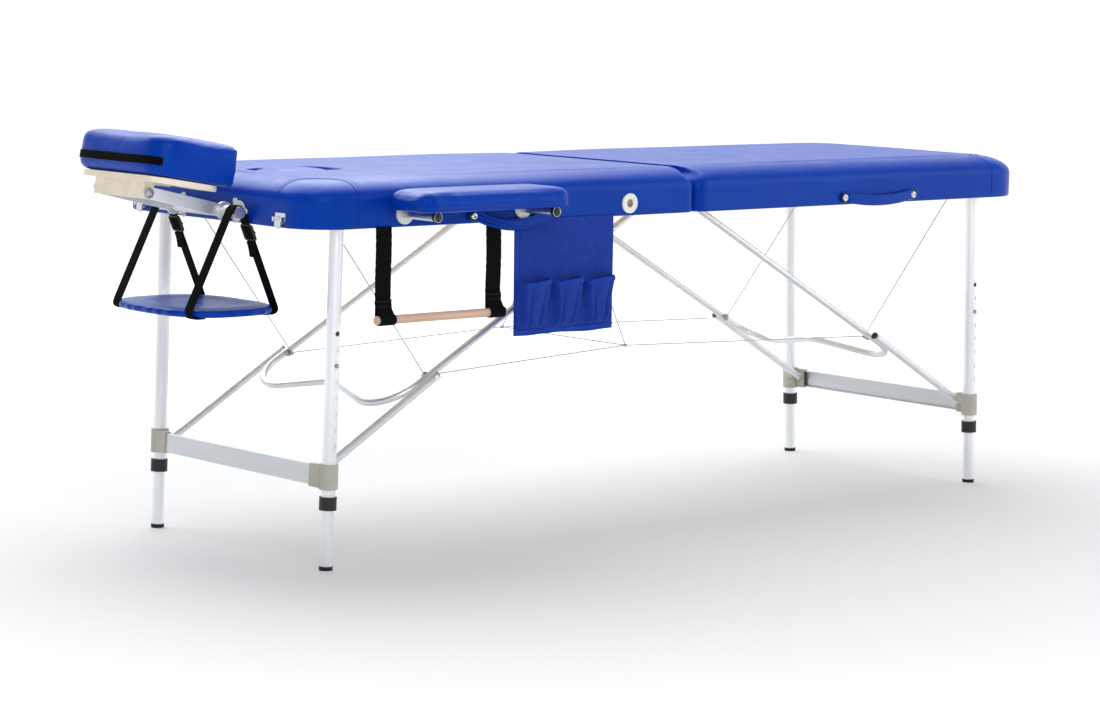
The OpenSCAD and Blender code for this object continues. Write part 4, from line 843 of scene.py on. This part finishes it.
relief(webbing, weave(webbing, 520.0, (1.0, 0.0, 1.0), "X", "TRI"), 0.00022)
web_along = weave(webbing, 330.0, (0.35, 1.0, 1.0), "DIAGONAL", "SIN")
relief(webbing, web_along, 0.00018)
spread(webbing, "Base Color", web_along, 0.7, 1.7, (0.2, 0.9))


def strap(name, path, width, thick, side, body, material):
    """Webbing: a flat section with rounded edges, carried along a path. width may change along the path. The
    UV map runs in metres across and along it."""
    flat, tall = circle(1.0, 20).T
    broad = signed_power(flat, 0.25) * np.broadcast_to(width, len(path))[:, None] / 2
    section = np.stack(np.broadcast_arrays(broad, signed_power(tall, 0.6) * thick / 2), -1)
    uv = np.stack(np.broadcast_arrays(section[..., 0], run_of(path)[:, None]), -1)
    return made(solid(name, carry(path, section, side), uv), material, body)


def even_path(corners, step, soften=5):
    """A path through corners with points every step, its corners softened by averaging neighbours."""
    run = run_of(corners)
    return blurred(at_run(np.linspace(0.0, run[-1], int(run[-1] / step) + 2), run, corners), soften)


base_tube_x, base_tube_z, tube_round = -0.955 + seam_x, 0.638, 0.0125
shelf_long, shelf_half, shelf_low, shelf_high, shelf_square = 0.226, 0.152, 0.452, 0.467, 2.8
shelf_in, shelf_roll = 0.106, 0.0065
shelf_middle = np.array([shelf_long / 2 - shelf_in, 0.0])
shelf_reach = np.array([shelf_long / 2, shelf_half])
shelf_sweep = np.linspace(np.pi, 3 * np.pi, 2001)
shelf_oval = signed_power(np.stack([np.cos(shelf_sweep), np.sin(shelf_sweep)], -1), 2 / shelf_square)
oval_run = run_of(shelf_oval * shelf_reach)
shelf_oval = at_run(np.linspace(0.0, oval_run[-1], 220, endpoint=False), oval_run, shelf_oval)
shelf_out = unit(signed_power(shelf_oval, shelf_square - 1) / shelf_reach)
shelf_turn = np.linspace(-np.pi / 2, np.pi / 2, 13)
shelf_profile = np.vstack([[[0.040, 0.0]], np.stack([shelf_roll * (1 - np.cos(shelf_turn)),
                                                     0.007 + shelf_roll * np.sin(shelf_turn)], -1)])
shelf_ring = stepped_in(shelf_middle + shelf_oval * shelf_reach, shelf_out, shelf_profile)
step = np.arange(220)
pucker = 0.0011 * np.sin(step * 2 * np.pi * 27 / 220 + 0.8 * np.sin(step * 0.31))[:, None]
shelf_ring[..., :2] += shelf_out * pucker * np.sin(np.pi * np.linspace(0, 1, 14))[:, None, None]
shelf_share = np.linspace(0.0, 0.97, 16)[1:, None, None]
shelf_sag = 0.0135 + 0.0022 * np.sin(np.pi * np.minimum(1, 2.4 * shelf_share)) - 0.003 * shelf_share ** 2
shelf_top = with_height(shelf_ring[-1:, :, :2] * (1 - shelf_share) + shelf_middle * shelf_share, shelf_sag)
shelf_grid = np.concatenate([shelf_ring, shelf_top])[:, ::-1] * (-1, 1, 1) + (base_tube_x, 0.0, shelf_low)
made(solid("sling_shelf_pad", shelf_grid), vinyl, "sling", ("sling_shelf",))

strap_wide, strap_thick, sling_strap_y, foot_in = 0.025, 0.0022, 0.115, 0.0200
foot_drop, under = shelf_high - 0.0015 - base_tube_z, shelf_low - 0.0014 - base_tube_z
outer_foot = np.array([shelf_long - shelf_in - foot_in, foot_drop])
inner_foot = np.array([-shelf_in + foot_in, foot_drop])
outer_touch, inner_touch = [np.arctan2(foot[1], foot[0]) + way * np.arccos(tube_round / np.linalg.norm(foot))
                            for foot, way in ((outer_foot, 1), (inner_foot, -1))]
over = np.linspace(outer_touch, inner_touch + 2 * np.pi, 22)
tuck_under = np.array([[-0.030, under], [-0.006, under], [0.0025, under + 0.006]])
sling_line = even_path(np.vstack([
    tuck_under + (outer_foot[0], 0.0), outer_foot, tube_round * np.stack([np.cos(over), np.sin(over)], -1),
    inner_foot, tuck_under[::-1] * (-1, 1) + (inner_foot[0], 0.0)]), 0.0025)
leave = tube_round * np.array([np.cos(inner_touch), np.sin(inner_touch)])
down = unit(inner_foot - leave)
face = np.array([down[1], -down[0]])
slide_at = leave + 0.046 * down
slider_side = np.array([-face[0], 0.0, face[1]])
slider_plan, _ = rounded_outline(-0.0145, 0.0145, 0.0155, 0.004, 0.004, 60)
slider_section = circle(0.0021, 10)
bar_y = np.linspace(-0.0165, 0.0165, 14)
tail_line = even_path(np.array([slide_at + down * along - face * off for along, off in (
    (0.016, 0.0026), (0.030, 0.003), (0.048, 0.007))]), 0.0025)


def by_tube(plan, y):
    """Points out from and above the cradle's base tube, at y across the table."""
    return np.stack(np.broadcast_arrays(base_tube_x - plan[..., 0], y, base_tube_z + plan[..., 1]), -1)


for out, side in sides:
    strap_y = out * sling_strap_y
    piece = strap(f"sling_{side}_strap", by_tube(sling_line, strap_y), strap_wide, strap_thick, (0, 1, 0),
                  "sling", webbing)
    if out < 0:
        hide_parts("sling_straps", "sling_buckles")
    slider_line = by_tube(slide_at + down * slider_plan[:, :1], strap_y + slider_plan[:, 1])
    inward = np.cross(unit(np.roll(slider_line, -1, 0) - np.roll(slider_line, 1, 0)), slider_side)
    ring = (slider_line[:, None] + slider_section[:, :1] * 1.25 * slider_side
            + slider_section[:, 1:] * inward[:, None])
    made(surface(f"sling_{side}_slider", ring, close_u=True, close_v=True), black_moulding,
         "sling")
    bar = carry(by_tube(slide_at + 0.0022 * face, strap_y + bar_y), circle(0.0022, 10), (0, 0, 1))
    made(solid(f"sling_{side}_slider_bar", bar), black_moulding, "sling")
    strap(f"sling_{side}_strap_tail", by_tube(tail_line, strap_y), strap_wide, strap_thick, (0, 1, 0),
          "sling", webbing)

# Side armrests: foam boards in vinyl on two rods each, which slide in the side sockets.
# The vinyl is folded over at the corners and stapled under, so each corner has a crease down it.
arm_lo, arm_hi, arm_in, arm_out_y = -0.770 + seam_x, -0.425 + seam_x, 0.3158, 0.4313
arm_low, arm_high, arm_round = 0.6494, 0.6865, 0.024
arm_mid_x, arm_mid_y = (arm_lo + arm_hi) / 2, (arm_in + arm_out_y) / 2
arm_half = np.array([arm_hi - arm_lo, arm_out_y - arm_in]) / 2
arm_edge = rounded_outline(-arm_half[0], arm_half[0], arm_half[1], arm_round, arm_round, 260)
arm_turn = np.linspace(0.0, np.pi / 2, 12)
arm_profile = np.vstack([[[0.030, 0.0], [0.006, 0.0], [0.0015, 0.0012], [0.0, 0.004], [0.0, 0.012]],
                         np.stack([0.016 * (1 - np.cos(arm_turn)), 0.020 + 0.0155 * np.sin(arm_turn)], -1)])
arm_ring = stepped_in(*arm_edge, arm_profile)
arm_share = np.linspace(0.0, 0.96, 14)[1:, None, None]
arm_grid = np.concatenate([arm_ring, with_height(arm_ring[-1:, :, :2] * (1 - arm_share),
                                                 0.0355 + 0.0018 * np.sin(np.pi / 2 * arm_share))])
crease_wide, crease_lean, crease_deep, fold_high = 0.0042, 1.35, 0.0026, 0.0010
hem_in, hem_up = 0.030, 0.009
for out, side in sides:
    arm = f"armrest_{side}"
    middle = np.array([arm_mid_x, out * arm_mid_y])
    pad = made(solid(arm + "_cover", arm_grid + (*middle, arm_low)), vinyl, None)
    plump(pad, 0.004, 0.003, lambda p: p[:, 2] < arm_low + 0.010)
    skin = points_of(pad.data)
    along, beyond = (np.abs(skin[:, :2] - middle) - arm_half + arm_round).T
    low_share = np.clip((arm_high - 0.004 - skin[:, 2]) / 0.026, 0.0, 1.0) * (beyond > 0.004)
    crease, fold = [np.exp(-((along - crease_lean * beyond + off) / crease_wide) ** 2) * low_share
                    for off in (0.004, -0.006)]
    skin[:, :2] -= np.sign(skin[:, :2] - middle) * (crease_deep * crease - fold_high * fold)[:, None]
    pad.data.vertices.foreach_set("co", skin.ravel())
    pad.data.update()
    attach(pad, arm)
    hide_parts(arm + "_pad")
    hem = np.linspace((arm_lo + hem_in, out * arm_out_y, arm_low + hem_up),
                      (arm_hi - hem_in, out * arm_out_y, arm_low + hem_up), 150)
    stitches(arm + "_stitches", settle(hem, pad), (0.0, out, 0.0), navy_thread, arm)
    rods_lo, rods_hi = [np.array(corner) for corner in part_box(arm + "_rods")]
    cap_round = (rods_hi[2] - rods_lo[2]) / 2
    cap_profile = [(0.0070, -0.0075), (cap_round + 0.0006, -0.0075), (cap_round + 0.0006, -0.0012),
                   (cap_round - 0.0010, 0.0004), (0.0005, 0.0008)]
    for rod_x, tag in ((rods_lo[0] + cap_round, "a"), (rods_hi[0] - cap_round, "b")):
        cap_end = (rod_x, rods_lo[1] if out < 0 else rods_hi[1], (rods_lo[2] + rods_hi[2]) / 2)
        made(solid(f"{arm}_rod_cap_{tag}", turned(cap_end, (0, out, 0), cap_profile)), black_moulding, arm)

# Carry handles: soft straps in vinyl with three padded ridges, hung in a shallow bow on the near side.
# A black cup washer and a chrome screw hold each end. When the table is shut, the head half's handle is
# pushed up and the foot half's is pressed flat behind it.
handle_wide, handle_thick, handle_back, handle_reach = 0.022, 0.0088, 0.0022, 0.111
handle_out, screw_at, washer_out, handle_z = 0.004, 0.101, 0.0040, 0.631
handle_run = np.linspace(-1.0, 1.0, 121)
flat_share = np.clip((np.abs(handle_run) - 0.80) / 0.12, 0.0, 1.0)
full = 1.0 - 0.62 * flat_share * flat_share * (3 - 2 * flat_share)
ring_plan = circle(1.0, 72)
ring_w = 0.5 * signed_power(ring_plan[:, 0], 0.55)
ring_t = signed_power(ring_plan[:, 1], 0.5)
ridge = 0.62 + 0.38 * np.abs(np.sin(3 * np.pi * (ring_w + 0.5))) ** 0.7
thread_dip = 1.0 - 0.10 * (np.sin(handle_run * 190.0) > 0.2)
front = ring_t * (1 - np.clip(ring_t, 0.0, 1.0) * (1 - ridge))
thick_at = np.where(ring_t > 0, front, 0.25 * ring_t) * full[:, None]
thick_at = thick_at * np.where(ridge < 0.75, thread_dip[:, None], 1.0)
round_ends = np.sqrt(np.clip(1 - np.clip((np.abs(handle_run) - 0.93) / 0.07, 0, 1) ** 2, 0.02, 1))
hanging = 1 - np.minimum(1.0, (handle_run / 0.82) ** 2)
washer_profile = [(0.0030, 0.0), (0.0102, 0.0), (0.0104, 0.0008), (0.0096, 0.0020), (0.0086, 0.0024),
                  (0.0078, 0.0012), (0.0030, 0.0010)]
screw_profile = [(0.0030, 0.0006), (0.0074, 0.0012), (0.0076, 0.0021), (0.0062, 0.0036), (0.0032, 0.0044),
                 (0.0027, 0.0030), (0.0005, 0.0028)]
for half, centre_x, hung_y, handle_bow, pressed, pressed_to in (
        ("head", seam_x - 0.466, -0.3130, 0.020, (0.0, 0.0, 1.0), 0.5),
        ("foot", seam_x + 0.510, -0.3105, 0.008, (0.0, 1.0, 0.0), 0.04)):
    x = centre_x + handle_run * handle_reach
    bow = blurred((handle_z - handle_bow * hanging)[:, None], 9)[:, 0]
    up = unit(np.stack([-np.gradient(bow, x), np.ones(121)], -1)) * (handle_wide * round_ends)[:, None]
    face_y = hung_y - handle_back - handle_out * hanging[:, None] - (handle_thick - handle_back) * thick_at
    ring = np.stack([x[:, None] + up[:, :1] * ring_w, face_y, bow[:, None] + up[:, 1:] * ring_w], -1)
    handle = made(solid(half + "_handle_strap", ring[:, ::-1]), vinyl, half + "_panel",
                  (half + "_handle",))
    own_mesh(handle)
    for way, tag in ((-1, "a"), (1, "b")):
        seat = (centre_x + way * screw_at, hung_y - washer_out, handle_z)
        for kind, profile, count, paint, slot in (
                ("washer", washer_profile, 48, black_moulding, "black_plastic"),
                ("screw", screw_profile, 40, chrome, "chrome")):
            made(solid(f"{half}_handle_{kind}_{tag}", turned(seat, (0, -1, 0), profile, count)), paint,
                 half + "_panel")

# Roll holder: two black elastic straps hung from the near side, each sewn into a loop round a beech dowel.
# The elastic is gathered a little along its edges, so they run in fine waves.
beech = finish("beech", (217, 181, 156), 0.55)
mottle(beech, "Base Color", 160.0, 4.0, 0.90, 1.07, (0.35, 0.68), (0.05, 1.0, 1.0))
roughen(beech, 900.0, 2.0, 0.0001, (0.05, 1.0, 1.0))
wear(beech, "roll_dowel")
elastic = finish("black_elastic", (8, 7, 8), 0.85, Specular_IOR_Level=0.10)
rib_lines = weave(elastic, 260.0, (0.0, 1.0, 1.0), "Y", "SIN", Distortion=0.6)
relief(elastic, rib_lines, 0.0003)
relief(elastic, weave(elastic, 420.0, (1.0, 0.0, 1.0), "X", "TRI"), 0.00015)
spread(elastic, "Base Color", rib_lines, 0.7, 1.9, (0.2, 0.9))
elastic_wide, elastic_thick, elastic_step = 0.036, 0.0020, 0.0015
dowel_y, dowel_z, dowel_loop, hang_line = -0.32055, 0.452, 0.0094, -0.3116
loop_turn = np.radians(np.linspace(0.0, -262.0, 40))
loop_line = np.stack([dowel_y + dowel_loop * np.cos(loop_turn), dowel_z + dowel_loop * np.sin(loop_turn)], -1)
elastic_line = even_path(np.vstack([
    [[hang_line, 0.6185], [hang_line, 0.478], [hang_line, 0.462]], loop_line,
    [[hang_line - 0.0026, 0.4725], [hang_line - 0.0023, 0.478], [hang_line - 0.0022, 0.4885]]]),
    elastic_step, 3)
grey_thread = finish("grey_thread", (62, 62, 66), 0.8)
sewn_half, sewn_y = 0.0150, hang_line - 0.0036
run = np.arange(len(elastic_line)) * elastic_step
for centre_x, tag in ((-0.771, "head_end"), (-0.515, "middle")):
    strap_x = centre_x + seam_x
    wave = 1.0 + 0.025 * np.sin(run * 420.0 + centre_x * 40) * np.sin(run * 61.0) ** 2
    wave = wave + 0.02 * np.exp(-((run - 0.18) / 0.02) ** 2)
    sway = 0.0010 * np.sin(run * 38.0 + centre_x * 20) * (run < 0.14) - 0.0004
    line = np.stack([np.full(len(run), strap_x), elastic_line[:, 0] + np.minimum(0.0002, sway),
                     elastic_line[:, 1]], -1)
    piece = strap(f"roll_strap_{tag}", line, elastic_wide * wave, elastic_thick, (1, 0, 0), None, elastic)
    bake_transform(piece)
    if tag == "head_end":
        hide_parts("roll_straps")
    for row in (0.4755, 0.4845):
        sewn = np.linspace((strap_x - sewn_half, sewn_y, row), (strap_x + sewn_half, sewn_y, row), 40)
        stitches(f"roll_strap_{tag}_sewing_{int(row * 1e4)}", sewn, (0.0, -1.0, 0.0), grey_thread,
                 "roll_holder")

# Pouch: a matt cloth panel that hangs from the near side's rail, with three gathered pockets along its foot.
# Panel and pockets have sewn hems; each pocket is pleated at its foot and gapes at the mouth.
cloth = finish("blue_cloth", (20, 60, 166), 0.86, Specular_IOR_Level=0.15, Sheen_Weight=0.08,
               Sheen_Roughness=0.5)
for stretch, way in (((1.0, 0.0, 1.0), "X"), ((0.0, 1.0, 1.0), "Y")):
    relief(cloth, weave(cloth, 560.0, stretch, way, "SIN"), 0.00014)
spread(cloth, "Base Color", pattern(cloth, "Noise", 60.0, on="UV", Detail=4.0), 0.88, 1.12)
pouch_lo, pouch_hi, pouch_foot, pouch_top, pouch_y = -0.465 + seam_x, -0.219 + seam_x, 0.403, 0.620, -0.3112
pocket_foot, pocket_mouth, pocket_in = 0.4155, 0.507, 0.004
flat_wide, flat_long, pocket_long = pouch_hi - pouch_lo, pouch_top - pouch_foot, pocket_mouth - pocket_foot


def cloth_piece(name, grid, u, v, flat, stands_for=()):
    """A cloth sheet through a grid, with its flat size in metres as the UV map."""
    piece = surface(name, grid, uv=np.stack([u * flat[0], v * flat[1]], -1))
    made(piece, cloth, "head_panel", stands_for)
    thick = piece.modifiers.new("cloth_thickness", "SOLIDIFY")
    thick.thickness, thick.offset = 0.0009, 0.0


panel_u, panel_v = np.meshgrid(np.linspace(0, 1, 90), np.linspace(0, 1, 80))
hang = 1 - panel_v
ripple = 0.0016 + 0.0014 * np.sin(panel_u * 14 + 2.4 * hang) + 0.0011 * np.sin(panel_u * 31 - 4 * hang + 1.0)
panel_grid = np.stack([pouch_lo + flat_wide * panel_u, pouch_y - np.clip(hang * ripple, 0, 0.005),
                       pouch_foot + flat_long * panel_v - 0.0012 * hang * np.sin(panel_u * 11)], -1)
cloth_piece("pouch_panel", panel_grid, panel_u, panel_v, (flat_wide, flat_long), ("pouch",))

pocket_u, pocket_v = np.meshgrid(np.linspace(0, 1, 241), np.linspace(0, 1, 56))
third = pocket_u * 3 % 1.0
lean = 0.03 * np.sin(5 * pocket_v + 2 * np.floor(pocket_u * 2.999)) * (1 - pocket_v)
from_middle = np.abs(third - 0.5 + lean)
front_half = 0.23 + 0.14 * pocket_v
pleat_share = np.clip((front_half + 0.10 - from_middle) / 0.10, 0.0, 1.0)
bag = pleat_share * pleat_share * (3 - 2 * pleat_share)
sewn_foot = np.clip(pocket_v / 0.10, 0.0, 1.0)
deep = (0.0085 + 0.0140 * pocket_v ** 0.9) * sewn_foot
crease = np.exp(-((from_middle - front_half * 0.62) / 0.035) ** 2) * (1 - pocket_v) ** 0.9 * sewn_foot
buckle = np.cos(np.pi * from_middle / front_half) * pocket_v
pocket_out = np.maximum(0.0019 + deep * bag * (1 + 0.10 * buckle) - 0.0065 * crease * bag, 0.0018)
mouth_dip = (0.0040 - 0.0080 * (third - 0.5)) * bag * pocket_v ** 2
pocket_z = pocket_foot + pocket_long * pocket_v
back_y = pouch_y - np.interp(pocket_z, [pouch_foot, pouch_top], [0.0034, 0.0])
pocket_grid = np.stack([pouch_lo + pocket_in + (flat_wide - 2 * pocket_in) * pocket_u, back_y - pocket_out,
                        pocket_z - mouth_dip], -1)
span, drop = [np.linalg.norm(np.diff(pocket_grid, axis=way), axis=-1).sum(way).mean() for way in (1, 0)]
cloth_piece("pouch_pockets", pocket_grid, pocket_u, pocket_v, (span, drop))

blue_thread = finish("blue_thread", (24, 50, 132), 0.7)
hem_band = circle(1.0) * (0.0009, 0.0045)
outward = (0.0, -1.0, 0.0)
for name, line in (("mouth", pocket_grid[-3]), ("foot", panel_grid[3]), ("near", panel_grid[:, 2])):
    hem = carry(line + (0.0, -0.0003, 0.0), hem_band, outward)
    made(solid(f"pouch_{name}_hem", hem), cloth, "head_panel")
for name, line in (("mouth", pocket_grid[-6]), ("foot", panel_grid[6]), ("side", panel_grid[:, 5])):
    stitches(f"pouch_{name}_stitches", line + (0.0, -0.0008, 0.0), outward, blue_thread,
             "head_panel")
